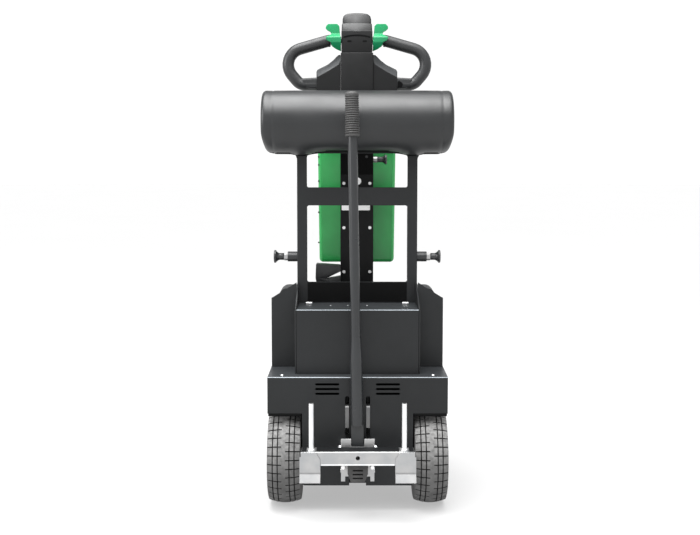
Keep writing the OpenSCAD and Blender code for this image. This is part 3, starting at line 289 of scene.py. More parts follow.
charcoal = powder_coat("charcoal_powder_coat", 0.0098, 0.34)
# A pale coat painted on chosen folds as a highlight.
fold_highlight_coat = powder_coat("painted_fold_highlight_coat", 0.34, 0.5, 0.34)
# A lighter coat for flat top faces, painted light from above.
lit_top_coat = powder_coat("painted_lit_top_coat", 0.027, 0.44, 0.34)
sleeve_coat = powder_coat("sleeve_coat", 0.013, 0.55, 0.30)
mast_coat = powder_coat("mast_black_coat", 0.0006, 0.10)
plate_coat = powder_coat("mast_plate_coat", 0.0028, 0.20)
# Black rubber, also used for sheets and blocks of painted shade.
black_rubber_and_painted_shade = powder_coat("black_rubber_and_painted_shade", 0.0015, 0.10)
strip_rubber = powder_coat("strip_rubber", 0.006, 0.15, 0.6)
# Black for the back panel, also used for patches of painted shade.
panel_and_shade_black = powder_coat("black_panel_and_painted_shade_coat", 0.0012, 0.12)
lever_coat = powder_coat("lever_satin_coat", 0.016, 0.55, 0.26)
zinc = zinc_plate("zinc_plate", 0.45)
prong_zinc = zinc_plate("prong_zinc", 0.90)
bolt_steel = zinc_plate("bright_bolt_zinc", 0.88)
# Bright zinc for bolts, also painted on edges as a highlight.
highlight_and_bolt_zinc = zinc_plate("painted_highlight_and_bolt_zinc", 0.95)
slide_zinc = zinc_plate("slide_zinc", 0.17)
# A darker zinc painted on the foot plates' lips as shade.
painted_shade_lip_zinc = zinc_plate("painted_shade_lip_zinc", 0.38)
tyre = tyre_rubber()
caster_rubber = soft_rubber("caster_rubber", 0.020)
grip_rubber = soft_rubber("grip_rubber", 0.040)
pad_rubber = soft_rubber("hitch_pad_rubber", 0.034)
vinyl = roll_vinyl()
# A near-black finish painted on the roll's underside as shade.
roll_underside_shade = powder_coat("painted_roll_underside_shade", 0.0012, 0.05, 0.6)
head_plastic = moulded_plastic("head_plastic", 0.0055, 0.44, 0.28)
# A paler plastic painted on the shoulders' front facets as a highlight.
painted_highlight_facet_plastic = moulded_plastic("painted_highlight_facet_plastic", 0.045, 0.34, 0.5)
cap_plastic = moulded_plastic("cap_plastic", 0.0085, 0.30, 0.4)
handle_plastic = moulded_plastic("handle_plastic", 0.020, 0.40, 0.45)
knob_plastic = moulded_plastic("knob_plastic", 0.022, 0.28, 0.5)
mast_knob_plastic = moulded_plastic("mast_knob_plastic", 0.05, 0.3, 0.5)
battery_plastic = moulded_plastic("battery_plastic", 0.008)
plug_plastic = moulded_plastic("plug_plastic", 0.016, 0.4, 0.4)
cover_green = tinted_plastic("cover_green", (0.021, 0.275, 0.065), (0.028, 0.330, 0.080), 0.20)
lever_green = tinted_plastic("lever_green", (0.004, 0.200, 0.070), (0.006, 0.240, 0.088), 0.24)
paddle_green = tinted_plastic("paddle_green", (0.004, 0.205, 0.078), (0.006, 0.240, 0.092), 0.30)
stop_red = tinted_plastic("stop_red", (0.50, 0.014, 0.010), (0.62, 0.022, 0.016), 0.26)
label_white = tinted_plastic("label_white", (0.90, 0.90, 0.90), (0.96, 0.96, 0.96), 0.5)
rim_grey = powder_coat("rim_grey_coat", 0.26)
shaft_steel = bare_metal("shaft_steel", (0.34, 0.35, 0.36), (0.50, 0.51, 0.52), 0.34)
cast_alloy = bare_metal("cast_alloy", (0.40, 0.41, 0.42), (0.55, 0.56, 0.57), 0.5)
motor_black = powder_coat("motor_black_coat", 0.006, 0.3)
battery_brass = bare_metal("battery_brass", (0.60, 0.42, 0.16), (0.80, 0.60, 0.26), 0.3)


# Shaping

hands = ((-1, "left"), (1, "right"))
second_finish = 1


def new_piece(name, bm, body, finish, slot, *stands_for, creases=40):
    """A mesh piece on a body, smooth but for edges sharper than creases degrees."""
    mesh = bpy.data.meshes.new(name)
    bm.to_mesh(mesh)
    bm.free()
    mesh.materials.append(finish)
    mesh.shade_smooth()
    mesh.set_sharp_from_angle(angle=math.radians(creases))
    piece = bpy.data.objects.new(name, mesh)
    bpy.context.scene.collection.objects.link(piece)
    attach(piece, body)
    if stands_for:
        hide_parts(*stands_for)
    return piece


def settle_normals(piece):
    """Keeps flat faces flat beside their rounded edges."""
    weigh = piece.modifiers.new("flat_faces", "WEIGHTED_NORMAL")
    weigh.keep_sharp = True


def sharp_edges(bm, angle, least=0.0):
    return [
        e for e in bm.edges
        if len(e.link_faces) == 2 and e.calc_face_angle() > math.radians(angle) and e.calc_length() > least
    ]


def bevel_edges(bm, edges, width, segments, material=-1, clamp=False):
    bmesh.ops.bevel(
        bm, geom=edges, offset=width, offset_type="OFFSET", segments=segments, profile=0.5, affect="EDGES",
        material=material, clamp_overlap=clamp,
    )


def ease_edges(bm, width, segments=3, angle=35):
    bevel_edges(bm, sharp_edges(bm, angle), width, segments, clamp=True)


def only(kind, geom):
    """The vertices, edges or faces of an operator's result."""
    return [g for g in geom if isinstance(g, kind)]


def close_up(bm):
    bmesh.ops.remove_doubles(bm, verts=bm.verts, dist=1e-6)
    bmesh.ops.recalc_face_normals(bm, faces=bm.faces)


def slab(bm, outline, low, high, along="Y"):
    """A flat piece between two planes, from its outline in the other two directions."""
    def at(u, v, w):
        return {"X": (w, u, v), "Y": (u, w, v), "Z": (u, v, w)}[along]

    face = bm.faces.new([bm.verts.new(at(u, v, low)) for u, v in outline])
    grown = bmesh.ops.extrude_face_region(bm, geom=[face])["geom"]
    bmesh.ops.translate(bm, verts=only(BMVert, grown), vec=at(0, 0, high - low))
    close_up(bm)


def rect(x, z):
    return [(x[0], z[0]), (x[1], z[0]), (x[1], z[1]), (x[0], z[1])]


def rounded(outline, radii, steps=5):
    """An outline with an arc at each corner. Radii is one radius, or one for each corner."""
    count = len(outline)
    if not hasattr(radii, "__len__"):
        radii = [radii] * count
    made = []
    for i, corner in enumerate(outline):
        here = Vector(corner)
        back = (Vector(outline[i - 1]) - here).normalized()
        ahead = (Vector(outline[(i + 1) % count]) - here).normalized()
        radius = radii[i]
        turn = back.angle(ahead)
        if radius <= 0 or turn > math.radians(178):
            made.append(tuple(here))
            continue
        middle = here + (back + ahead).normalized() * radius / math.sin(turn / 2)
        start = here + back * radius / math.tan(turn / 2) - middle
        sweep = start.angle_signed(here + ahead * radius / math.tan(turn / 2) - middle)
        for k in range(steps + 1):
            made.append(tuple(middle + Matrix.Rotation(-sweep * k / steps, 2) @ start))
    return made


def turned(bm, profile, centre, axis, steps=48):
    """A full turn of a profile, which is given as pairs of distance along the axis and radius."""
    axis = Vector(axis).normalized()
    side = axis.orthogonal().normalized()
    verts = [bm.verts.new(Vector(centre) + axis * a + side * r) for a, r in profile]
    edges = [bm.edges.new(pair) for pair in zip(verts, verts[1:])]
    bmesh.ops.spin(
        bm, geom=verts + edges, cent=centre, axis=axis, angle=math.tau, steps=steps, use_merge=True
    )
    close_up(bm)


def arc(centre, radius, start, end, steps=6):
    """Points round part of a circle, angles in degrees."""
    angles = [math.radians(start + (end - start) * k / steps) for k in range(steps + 1)]
    return [(centre[0] + radius * math.cos(a), centre[1] + radius * math.sin(a)) for a in angles]


def cut_across(bm, place, facing):
    """Cuts a shape's faces along a plane, so that it can be bent there."""
    bmesh.ops.bisect_plane(
        bm, geom=bm.verts[:] + bm.edges[:] + bm.faces[:], dist=1e-6, plane_co=place, plane_no=facing,
    )


def mirrored(bm):
    """Adds the other side's copy of everything drawn so far."""
    geom = bm.verts[:] + bm.edges[:] + bm.faces[:]
    copy = bmesh.ops.duplicate(bm, geom=geom)["geom"]
    bmesh.ops.scale(bm, verts=only(BMVert, copy), vec=(-1, 1, 1))
    bmesh.ops.reverse_faces(bm, faces=only(BMFace, copy))


def joined(bm, other):
    """Adds another shape's faces to this one."""
    mesh = bpy.data.meshes.new("joining")
    other.to_mesh(mesh)
    other.free()
    bm.from_mesh(mesh)
    bpy.data.meshes.remove(mesh)


def bent_tube(bm, corners, bends, depth, radius, sides=36, steps=10):
    """A round tube along corners given in X and Z, with a bend at each inner corner."""
    points = [Vector((x, depth, z)) for x, z in corners]
    ahead = [(b - a).normalized() for a, b in zip(points, points[1:])]
    made = bmesh.ops.create_circle(
        bm, segments=sides, radius=radius,
        matrix=Matrix.Translation(points[0]) @ ahead[0].to_track_quat("Z", "Y").to_matrix().to_4x4(),
    )
    ring = list({e for v in made["verts"] for e in v.link_edges})
    place = points[0]
    first_ring = ring
    for i, bend in enumerate(bends):
        turn = ahead[i].angle(ahead[i + 1])
        start = points[i + 1] - ahead[i] * bend * math.tan(turn / 2)
        grown = bmesh.ops.extrude_edge_only(bm, edges=ring)["geom"]
        bmesh.ops.translate(bm, verts=only(BMVert, grown), vec=start - place)
        ring = only(BMEdge, grown)
        axis = ahead[i].cross(ahead[i + 1]).normalized()
        centre = start + axis.cross(ahead[i]) * bend
        spun = bmesh.ops.spin(bm, geom=ring, cent=centre, axis=axis, angle=turn, steps=steps)["geom_last"]
        ring = only(BMEdge, spun)
        place = start + (ahead[i] + ahead[i + 1]) * bend * math.tan(turn / 2)
    grown = bmesh.ops.extrude_edge_only(bm, edges=ring)["geom"]
    bmesh.ops.translate(bm, verts=only(BMVert, grown), vec=points[-1] - place)
    last_ring = only(BMEdge, grown)
    for open_end in (first_ring, last_ring):
        bmesh.ops.edgeloop_fill(bm, edges=open_end)
    close_up(bm)


def button_screws(bm, places, radius, facing):
    """Round-headed socket screws at places on a surface, facing one way."""
    head = radius * 0.55
    profile = [
        (-0.0002, radius * 0.96), (head * 0.35, radius), (head * 0.8, radius * 0.82), (head, radius * 0.55),
        (head, radius * 0.42), (head * 0.45, radius * 0.40), (head * 0.45, 0),
    ]
    for place in places:
        turned(bm, profile, place, facing, 16)


# Sheet and machined pieces: each CAD node's shape, with its long edges eased

merge_gap = 1e-5
flat_angle = math.radians(0.5)
same_place = 1e-4
long_edge = 0.012
sheet_ease = 0.0009
fold_round = 0.0016
highlight_index = 1
lit_top_index = 2
cover_front_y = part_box("front_cover")[0].y
cover_top_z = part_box("front_cover")[1].z
shelf_front_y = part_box("apron")[0].y
shelf_top_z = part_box("apron")[1].z
bar_front_y = -0.280
bar_z = (0.151, 0.186)


def eased_copy(node, name, width, finish, painted_shading=None, highlight_finish=fold_highlight_coat, top=None):
    """A CAD node's own shape with its long edges eased. Chosen folds get a painted highlight, and flat top
    faces at the given top height get a lighter coat, painted light from above.
    """
    source = cad[node]
    bm = bmesh.new()
    bm.from_mesh(source.data)
    bmesh.ops.remove_doubles(bm, verts=bm.verts, dist=merge_gap)
    bmesh.ops.dissolve_limit(bm, angle_limit=flat_angle, verts=bm.verts, edges=bm.edges)
    # Flat top faces at the top height take the lighter coat, painted light from above.
    if top:
        for face in bm.faces:
            if face.normal.z > 0.99 and abs(face.calc_center_median().z - top) < same_place:
                face.material_index = lit_top_index
    if painted_shading:
        folds = [e for e in sharp_edges(bm, 20, long_edge) if painted_shading(*[v.co for v in e.verts])]
        bevel_edges(bm, folds, fold_round, 3, material=highlight_index)
    bevel_edges(bm, sharp_edges(bm, 40, long_edge), width, 2)
    slot = next(s["material_slot"] for s in frame["record"]["subparts"] if s["node"] == node)
    piece = new_piece(name, bm, source["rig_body"], finish, slot, node, creases=32)
    if painted_shading:
        piece.data.materials.append(highlight_finish)
        piece.data.materials.append(lit_top_coat)
    settle_normals(piece)


def on_line(y, z):
    """Picks the edges that run along X at a depth and height."""
    return lambda a, b: all(abs(v.y - y) < same_place and abs(v.z - z) < same_place for v in (a, b))


def bar_fold(a, b):
    """Picks the two front folds of the hitch bar."""
    return any(on_line(bar_front_y, z)(a, b) for z in bar_z)


for node in ("side_wings", "bumper_frame", "rear_hood", "chassis_tub"):
    eased_copy(node, node + "_sheet", sheet_ease, charcoal)
# The front folds of the shelf and of the battery cover get a painted highlight.
eased_copy(
    "apron", "apron_sheet", sheet_ease, charcoal,
    painted_shading=on_line(shelf_front_y, shelf_top_z), top=shelf_top_z,
)
eased_copy(
    "front_cover", "front_cover_sheet", sheet_ease, charcoal,
    painted_shading=on_line(cover_front_y, cover_top_z), top=cover_top_z,
)
# The hitch bar's two front folds get a painted highlight in bright zinc.
eased_copy("hitch_carriage", "hitch_carriage_zinc", 0.0007, zinc, painted_shading=bar_fold, highlight_finish=highlight_and_bolt_zinc)
eased_copy("outer_mast", "outer_mast_tube", 0.0012, mast_coat)
eased_copy("mast_plate", "mast_cover_plate", 0.0006, plate_coat)


# Edging, strips and small plates of the apron and the hitch

arch_x = (0.1475, 0.2345)
arch_z = 0.261
strip_x = ((-0.1055, 0.1055), (0.1310, 0.1425), (-0.1425, -0.1310))
strip_y = (bar_front_y + 0.0060, bar_front_y + 0.0385)
slide_x = 0.0275
slide_y = -0.191
slide_z = (0.224, 0.282)
slot_half = 0.0049
ear_front_y = -0.240
ear_top_z = 0.208
lip_bolt_x = 0.0378
lip_bolt_z = 0.1345
lip_bolt_profile = [(-0.0002, 0.0062), (0.0042, 0.0062), (0.0052, 0.0052), (0.0052, 0)]
bar_edge_half = 0.0930
bar_edge_h = 0.0036
foot_x = (0.0956, 0.1472)
foot_fold = (-0.284, 0.132)
foot_low = (-0.295, 0.110)
lip_proud = (-0.00027, 0.00013)
lip_shares = (0.12, 0.93)
prong_x = 0.1183
prong_y = -0.268
prong_z = (0.186, 0.309)
prong_r = 0.0063
prong_tip = 0.0012
weld_r = 0.004


def arch_edging():
    """The rubber edging on the lower edge of each wheel arch, black so that it also paints the shade under
    the arch.
    """
    bm = bmesh.new()
    outline = rect(arch_x, (arch_z - 0.0065, arch_z + 0.0015))
    slab(bm, outline, shelf_front_y - 0.0022, shelf_front_y + 0.0052)
    ease_edges(bm, 0.0018)
    mirrored(bm)
    new_piece("arch_edging", bm, "chassis", black_rubber_and_painted_shade, "black_rubber", creases=45)


def bar_strips():
    """The black rubber strip on top of the hitch bar, left out round the feet of the prongs."""
    bm = bmesh.new()
    for x in strip_x:
        slab(bm, rect(x, strip_y), bar_z[1] - 0.0002, bar_z[1] + 0.0012, "Z")
    ease_edges(bm, 0.0005, 2)
    new_piece("bar_strips", bm, "carriage", strip_rubber, "black_rubber")


def hitch_edges():
    """A painted highlight along the lower edge of the bar, and the bright hexagon bolts on the ears' lower
    lips.
    """
    bm = bmesh.new()
    outline = rect((-bar_edge_half, bar_edge_half), (bar_z[0] + 0.0002, bar_z[0] + bar_edge_h))
    slab(bm, outline, bar_front_y - 0.0003, bar_front_y + 0.0002)
    for x in (-lip_bolt_x, lip_bolt_x):
        turned(bm, lip_bolt_profile, (x, ear_front_y, lip_bolt_z), (0, -1, 0), 6)
    new_piece("hitch_edges", bm, "carriage", highlight_and_bolt_zinc, "zinc_plate", creases=25)


def slide_plates():
    """The dull steel faces of the slides in the apron's slots."""
    bm = bmesh.new()
    outline = rect((slide_x - 0.0046, slide_x + 0.0046), (slide_z[0] + 0.0005, slide_z[1] - 0.0040))
    slab(bm, rounded(outline, 0.0010, 3), slide_y - 0.0005, slide_y + 0.0002)
    mirrored(bm)
    new_piece("slide_plates", bm, "carriage", slide_zinc, "zinc_plate")


def slot_shade_sheets():
    """Black sheets that fill each slot between the slide and the ear and lie on the ears' tops, painted
    shade.
    """
    bm = bmesh.new()
    slot_x = (slide_x - slot_half, slide_x + slot_half)
    slot_shade = rect(slot_x, (ear_top_z + 0.0008, slide_z[0] - 0.0004))
    slab(bm, slot_shade, slide_y + 0.0014, slide_y + 0.0028)
    ear_top_shade = rect(slot_x, (ear_front_y + 0.0045, slide_y - 0.0010))
    slab(bm, ear_top_shade, ear_top_z - 0.0001, ear_top_z + 0.0005, "Z")
    mirrored(bm)
    new_piece("slot_shade_sheets", bm, "carriage", black_rubber_and_painted_shade, "black_rubber")


def foot_lips():
    """The lips of the foot plates, below their folds, where a trolley's bar slides up, in a darker zinc
    painted as shade.
    """
    bm = bmesh.new()

    def on_lip(share, out):
        return tuple(a + share * (b - a) + out * c for a, b, c in zip(foot_fold, foot_low, lip_proud))

    upper, lower = lip_shares
    outline = [on_lip(upper, 1), on_lip(lower, 1), on_lip(lower, -1), on_lip(upper, -1)]
    slab(bm, outline, *foot_x, "X")
    mirrored(bm)
    new_piece("foot_lips", bm, "carriage", painted_shade_lip_zinc, "zinc_plate")


def foot_folds():
    """A darker zinc line painted along each foot plate's fold as shade."""
    bm = bmesh.new()
    y, z = foot_fold
    slab(bm, rect(foot_x, (z + 0.0002, z + 0.0016)), y - 0.0002, y + 0.0002)
    mirrored(bm)
    new_piece("foot_folds", bm, "carriage", slide_zinc, "zinc_plate")


def prongs():
    """The two polished uprights, each with a weld bead at its foot."""
    bm = bmesh.new()
    low, high = prong_z
    hollow = arc((0, 0), weld_r, 90, 0, 5)
    foot = [(low, prong_r + 0.0038)] + [(low + 0.0085 - b, prong_r + 0.0042 - a) for a, b in hollow]
    tip = [(high - prong_tip + b, a) for a, b in arc((prong_r - prong_tip, 0), prong_tip, 0, 90, 4)]
    turned(bm, [(low, 0)] + foot + tip + [(high, 0)], (prong_x, prong_y, 0), (0, 0, 1), 32)
    mirrored(bm)
    new_piece("prong_rods", bm, "carriage", prong_zinc, "zinc_plate", creases=45)


arch_edging()
bar_strips()
hitch_edges()
slide_plates()
slot_shade_sheets()
foot_lips()
foot_folds()
prongs()


# Small pieces of the battery cover

panel_z = (0.5325, 0.5865)
panel_half = 0.1375
panel_y = (-0.0206, -0.0199)
latch_x = (0.1235, 0.1415)
latch_y = (-0.052, -0.036)
latch_h = 0.0055
shelf_screw_x = 0.199
shelf_screw_y = -0.168
cover_screw_x = (-0.072, -0.026, 0.026)
cover_screw_y = -0.076


def back_panel():
    """The bare black panel behind the battery cover's top."""
    bm = bmesh.new()
    slab(bm, rect((-panel_half, panel_half), panel_z), *panel_y)
    new_piece("back_panel", bm, "chassis", panel_and_shade_black, "black_coat")


def cover_latches():
    """The two plated catches on the battery cover and the two bright screws in the shelf."""
    bm = bmesh.new()
    slab(bm, rect(latch_x, latch_y), cover_top_z, cover_top_z + latch_h, "Z")
    ease_edges(bm, 0.0022)
    mirrored(bm)
    places = [(x, shelf_screw_y, shelf_top_z) for x in (-shelf_screw_x, shelf_screw_x)]
    button_screws(bm, places, 0.0045, (0, 0, 1))
    new_piece("cover_latches", bm, "chassis", bolt_steel, "zinc_plate", creases=35)


def cover_screws():
    """The small dull screws in the battery cover's top."""
    bm = bmesh.new()
    button_screws(bm, [(x, cover_screw_y, cover_top_z) for x in cover_screw_x], 0.0028, (0, 0, 1))
    new_piece("cover_screws", bm, "chassis", shaft_steel, "zinc_plate", creases=35)


def battery_connector():
    """The two-part battery plug, with the slanting gap between its halves."""
    low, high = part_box("battery_plug")
    bm = bmesh.new()
    outline = [
        (low.x + 0.005, low.z), (high.x, low.z), (high.x, low.z + 0.0300), (low.x + 0.050, low.z + 0.0262),
        (low.x + 0.0255, low.z + 0.0222), (high.x, low.z + 0.0440), (high.x, high.z - 0.0045),
        (low.x + 0.0015, high.z), (low.x, low.z + 0.026),
    ]
    rounds = [0.001, 0.001, 0.001, 0.004, 0.0008, 0.001, 0.003, 0.003, 0.004]
    slab(bm, rounded(outline, rounds, 4), low.y, high.y)
    ease_edges(bm, 0.0012, 2, angle=50)
    new_piece("battery_connector", bm, "chassis", plug_plastic, "dark_plastic", "battery_plug")


back_panel()
cover_latches()
cover_screws()
battery_connector()


# Padded roll

roll_low, roll_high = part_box("bumper_roll")
roll_centre = (roll_low + roll_high) / 2
roll_half = (roll_high.x - roll_low.x) / 2
roll_r = (roll_high.z - roll_low.z) / 2
roll_end_round = 0.012
roll_seam_x = roll_half - 0.029
roll_seam_depth = 0.0018
roll_stations = 24
roll_under = (0.45, 1)
roll_flat = (0.72, 1)
roll_drawn = (0.30, 1.05)
seam_half_w = 0.003
middle_swell = 0.0006
upright_x = 0.152
waist_half = 0.07
waist_rise = 0.005
sleeve_reach = 0.034
sleeve_drop = 0.0045
corner_reach = 0.040
corner_lift = 0.005
corner_tuck = 0.010


def roll_profile():
    """Half of the roll, from its middle to the centre of its end."""
    shares = [k / roll_stations for k in range(roll_stations)]
    body = [(share * roll_seam_x, roll_r - middle_swell * share ** 2) for share in shares]
    seam = [
        (roll_seam_x - seam_half_w, roll_r - 0.0007), (roll_seam_x, roll_r - roll_seam_depth),
        (roll_seam_x + seam_half_w, roll_r - 0.0010),
    ]
    round_centre = (roll_half - roll_end_round, roll_r - roll_end_round - middle_swell)
    round_end = arc(round_centre, roll_end_round, 90, 8, 9)
    face = [(roll_half - 0.0004, roll_r * 0.45), (roll_half, roll_r * 0.2), (roll_half, 0)]
    return body + seam + round_end + face


def smooth_step(value, low, high):
    t = min(max((value - low) / (high - low), 0), 1)
    return t * t * (3 - 2 * t)


def below(v, span):
    """How far a point lies into a span under the roll's axis. A span is in shares of the radius."""
    return smooth_step((roll_centre.z - v.co.z) / roll_r, *span)


def shape_roll_underside(bm):
    """Draws the cover in between the uprights, pulls it down onto each and rounds the ends below."""
    for v in bm.verts:
        across = abs(v.co.x)
        under = below(v, roll_under)
        waist = below(v, roll_flat) * (1 - smooth_step(across, waist_half, upright_x - 0.012))
        sleeve = under * (1 - smooth_step(abs(across - upright_x), 0.006, sleeve_reach))
        near_end = smooth_step(across, roll_half - corner_reach, roll_half)
        v.co.z += waist * waist_rise - sleeve * sleeve_drop + under * near_end * corner_lift
        v.co.x -= math.copysign(below(v, roll_drawn) * near_end * corner_tuck, v.co.x)


def build_roll():
    bm = bmesh.new()
    half = roll_profile()
    profile = [(-a, r) for a, r in reversed(half[1:])] + half
    turned(bm, profile, roll_centre, (1, 0, 0), 96)
    shape_roll_underside(bm)
    bm.normal_update()
    # The lowest faces between the ends take a near-black finish, painted shade under the roll.
    for face in bm.faces:
        if face.normal.z < -0.955 and abs(face.calc_center_median().x) < roll_half - 0.010:
            face.material_index = second_finish
    roll = new_piece("padded_roll", bm, "chassis", vinyl, "pad_cover", "bumper_roll", creases=60)
    roll.data.materials.append(roll_underside_shade)


build_roll()


# Hand grip of the hitch lever

lever_pivot = Vector((0, -0.219, 0.176))
lever_lean = Matrix.Rotation(math.radians(-3), 3, "X")
lever_side_lean = Matrix.Rotation(math.radians(-0.95), 3, "Y")
lever_axis = lever_side_lean @ lever_lean @ Vector((0, 0, 1))
grip_top = 0.927
grip_l = 0.116
grip_r = 0.0185
grip_ribs = 17


def grip_profile():
    low = grip_top - grip_l
    pitch = (grip_l - 0.016) / grip_ribs
    profile = [(low, 0.0132), (low, grip_r), (low + 0.002, grip_r + 0.0008), (low + 0.006, grip_r + 0.0008)]
    for i in range(grip_ribs):
        base = low + 0.007 + i * pitch
        taper = 0.0012 * math.cos(math.pi * i / (grip_ribs - 1))
        profile.append((base, grip_r - 0.0026))
        crown = grip_r + taper * 0.4 + 0.0002
        for k in range(5):
            fall = 1 - math.sin(math.pi * (k + 1) / 6)
            profile.append((base + pitch * (0.25 + 0.5 * k / 4), crown - 0.0016 * fall))
    top = [(a + grip_top - 0.009, r) for r, a in arc((grip_r - 0.0095, 0), 0.009, 0, 90, 6)]
    return profile + top + [(grip_top, 0)]


def build_grip():
    bm = bmesh.new()
    turned(bm, grip_profile(), lever_pivot, lever_axis, 40)
    new_piece("lever_hand_grip", bm, "lever", grip_rubber, "black_rubber", "lever_grip", creases=50)


build_grip()


# Index plungers

plunger_y = -0.0025
plunger_z = 0.657
plunger_knob_x = 0.2034
mast_knob_place = (0.060, 0.153, 0.927)


def knob_profile(pin_l, pin_r, neck_r, disc_r, length):
    """A trumpet-shaped pull knob, from its pin's tip to the middle of its face."""
    flare = [
        (length * (0.42 + 0.4 * k / 6), neck_r + (disc_r - neck_r) * (k / 6) ** 2) for k in range(7)
    ]
    return (
        [(-pin_l, 0), (-pin_l, pin_r * 0.75), (0.0015 - pin_l, pin_r), (0, pin_r), (0, neck_r * 0.9),
         (0.001, neck_r), (length * 0.36, neck_r)]
        + flare
        + [(length - 0.002, disc_r), (length - 0.0006, disc_r - 0.0007), (length, disc_r - 0.002),
           (length - 0.0015, disc_r * 0.7), (length - 0.002, 0)]
    )


def build_plunger(body, place, side, sizes, finish):
    bm = bmesh.new()
    turned(bm, knob_profile(**sizes), place, (side, 0, 0), 36)
    new_piece(body + "_knob", bm, body, finish, "dark_plastic", body, creases=45)


frame_knob = {"pin_l": 0.0545, "pin_r": 0.006, "neck_r": 0.0096, "disc_r": 0.018, "length": 0.028}
mast_knob = {"pin_l": 0.0188, "pin_r": 0.004, "neck_r": 0.0078, "disc_r": 0.0145, "length": 0.028}
for side, hand in hands:
    place = (side * plunger_knob_x, plunger_y, plunger_z)
    build_plunger("plunger_" + hand, place, side, frame_knob, knob_plastic)
build_plunger("mast_plunger", mast_knob_place, 1, mast_knob, mast_knob_plastic)


# Steering head

head_y0 = 0.108
head_y1 = 0.198
column_half = 0.0465
neck_half = 0.0446
joint_half = 0.043
recess_x = (-0.0215, 0.0225)
recess_z = (1.2622, 1.2672)
recess_half = 0.0062
column_z = (1.040, 1.2325)
neck_z = (1.2340, 1.2960)
wing_x = 0.117
arm_x = 0.160
arm_z = (1.143, 1.163)
arm_half_d = 0.0165
throttle_y = 0.131
throttle_z = 1.268
shaft_end = 0.076
shaft_r = 0.006
loop_r = 0.017
loop_h = 0.125
loop_x = 0.235
loop_bends = (0.030, 0.047, 0.030)


def head_column():
    bm = bmesh.new()
    slab(bm, rect((-column_half, column_half), column_z), head_y0, head_y1)
    ease_edges(bm, 0.0016)
    new_piece("head_column", bm, "head", head_plastic, "dark_plastic", "head_shell")


def head_neck():
    """The part above the column, and the recessed joint between the two."""
    bm = bmesh.new()
    slab(bm, rect((-neck_half, neck_half), neck_z), head_y0 + 0.001, head_y1 - 0.001)
    ease_edges(bm, 0.003)
    joint = rect((-joint_half, joint_half), (column_z[1] - 0.004, neck_z[0] + 0.004))
    slab(bm, joint, head_y0 + 0.0016, head_y1 - 0.003)
    new_piece("head_neck", bm, "head", head_plastic, "dark_plastic")


def neck_recesses():
    """Two black patches on the front of the neck, painted shade for its two blind openings."""
    bm = bmesh.new()
    for x in recess_x:
        outline = rounded(rect((x - recess_half, x + recess_half), recess_z), 0.0022, 4)
        slab(bm, outline, head_y0 + 0.0007, head_y0 + 0.004)
    new_piece("neck_recesses", bm, "head", panel_and_shade_black, "dark_plastic")


shoulder_back = [
    (0.0472, 1.0900), (0.1090, 1.1180), (0.1170, 1.1240), (0.1170, 1.1800), (0.1140, 1.1860),
    (0.0845, 1.2005), (0.0680, 1.2135), (0.0600, 1.2220), (0.0535, 1.2280), (0.0472, 1.2290),
]
shoulder_front = [
    (0.0472, 1.0900), (0.1085, 1.1182), (0.1160, 1.1245), (0.1150, 1.1630), (0.1108, 1.1649),
    (0.0824, 1.1804), (0.0640, 1.1915), (0.0530, 1.1985), (0.0485, 1.2050), (0.0472, 1.2115),
]
facet_d = 0.021


def head_wings():
    """The shoulders on both sides of the column, each with a broad sloping front facet."""
    bm = bmesh.new()
    front = head_y0 + 0.004
    back = front + facet_d
    slab(bm, shoulder_back, back, head_y1 - 0.028)
    faces = [f for f in bm.faces if all(abs(v.co.y - back) < merge_gap for v in f.verts)]
    grown = bmesh.ops.extrude_face_region(bm, geom=faces)["geom"]
    bmesh.ops.delete(bm, geom=faces, context="FACES_ONLY")
    for v in only(BMVert, grown):
        nearest = min(range(len(shoulder_back)), key=lambda i: (Vector(shoulder_back[i]) - v.co.xz).length)
        v.co = Vector((shoulder_front[nearest][0], front, shoulder_front[nearest][1]))
    close_up(bm)
    ease_edges(bm, 0.0010, 2, angle=24)
    mirrored(bm)
    bm.normal_update()
    # The broad front facets take the paler plastic, painted highlight from the light above and to the left.
    for face in bm.faces:
        if face.normal.y < -0.3 and face.normal.z > 0.3 and face.calc_area() > 1e-4:
            face.material_index = second_finish
    piece = new_piece("head_shoulders", bm, "head", head_plastic, "dark_plastic", creases=28)
    piece.data.materials.append(painted_highlight_facet_plastic)
    settle_normals(piece)


def head_arms():
    """The flat arms that carry the foot of each handle loop."""
    bm = bmesh.new()
    outline = [
        (wing_x - 0.008, arm_z[0] - 0.014), (arm_x - 0.016, arm_z[0] - 0.012), (arm_x, arm_z[0] + 0.006),
        (arm_x, arm_z[1] - 0.003), (wing_x - 0.008, arm_z[1]),
    ]
    slab(bm, outline, throttle_y - arm_half_d, throttle_y + arm_half_d)
    ease_edges(bm, 0.005)
    mirrored(bm)
    new_piece("head_arms", bm, "head", handle_plastic, "dark_plastic")


def arm_corner_shade():
    """A black block in the corner under the right arm, painted shade."""
    bm = bmesh.new()
    outline = [(0.1175, 1.1320), (0.1270, 1.1320), (0.1330, 1.1440), (0.1210, 1.1530), (0.1175, 1.1500)]
    slab(bm, rounded(outline, 0.002, 3), throttle_y - 0.0195, throttle_y - 0.010)
    new_piece("arm_corner_shade", bm, "head", black_rubber_and_painted_shade, "black_rubber")


cap_base_z = 1.2905
cap_line_z = 1.3185
cap_top_z = 1.3485
cap_slope = 0.42
cap_bow = 0.009
cap_middle_y = (head_y0 + head_y1) / 2
bow_cuts = 6
lip_sag = 0.004
lip_shadow_half = 0.0385
lip_shadow_drop = 0.0110
lip_shadow_sag = 0.0055
lip_shadow_h = 0.0042


def slope_front(bm):
    """Leans the front of the cap back as it rises."""
    for v in bm.verts:
        if v.co.y < cap_middle_y:
            reach = (cap_middle_y - v.co.y) / (cap_middle_y - head_y0)
            v.co.y += (v.co.z - cap_base_z) * cap_slope * reach


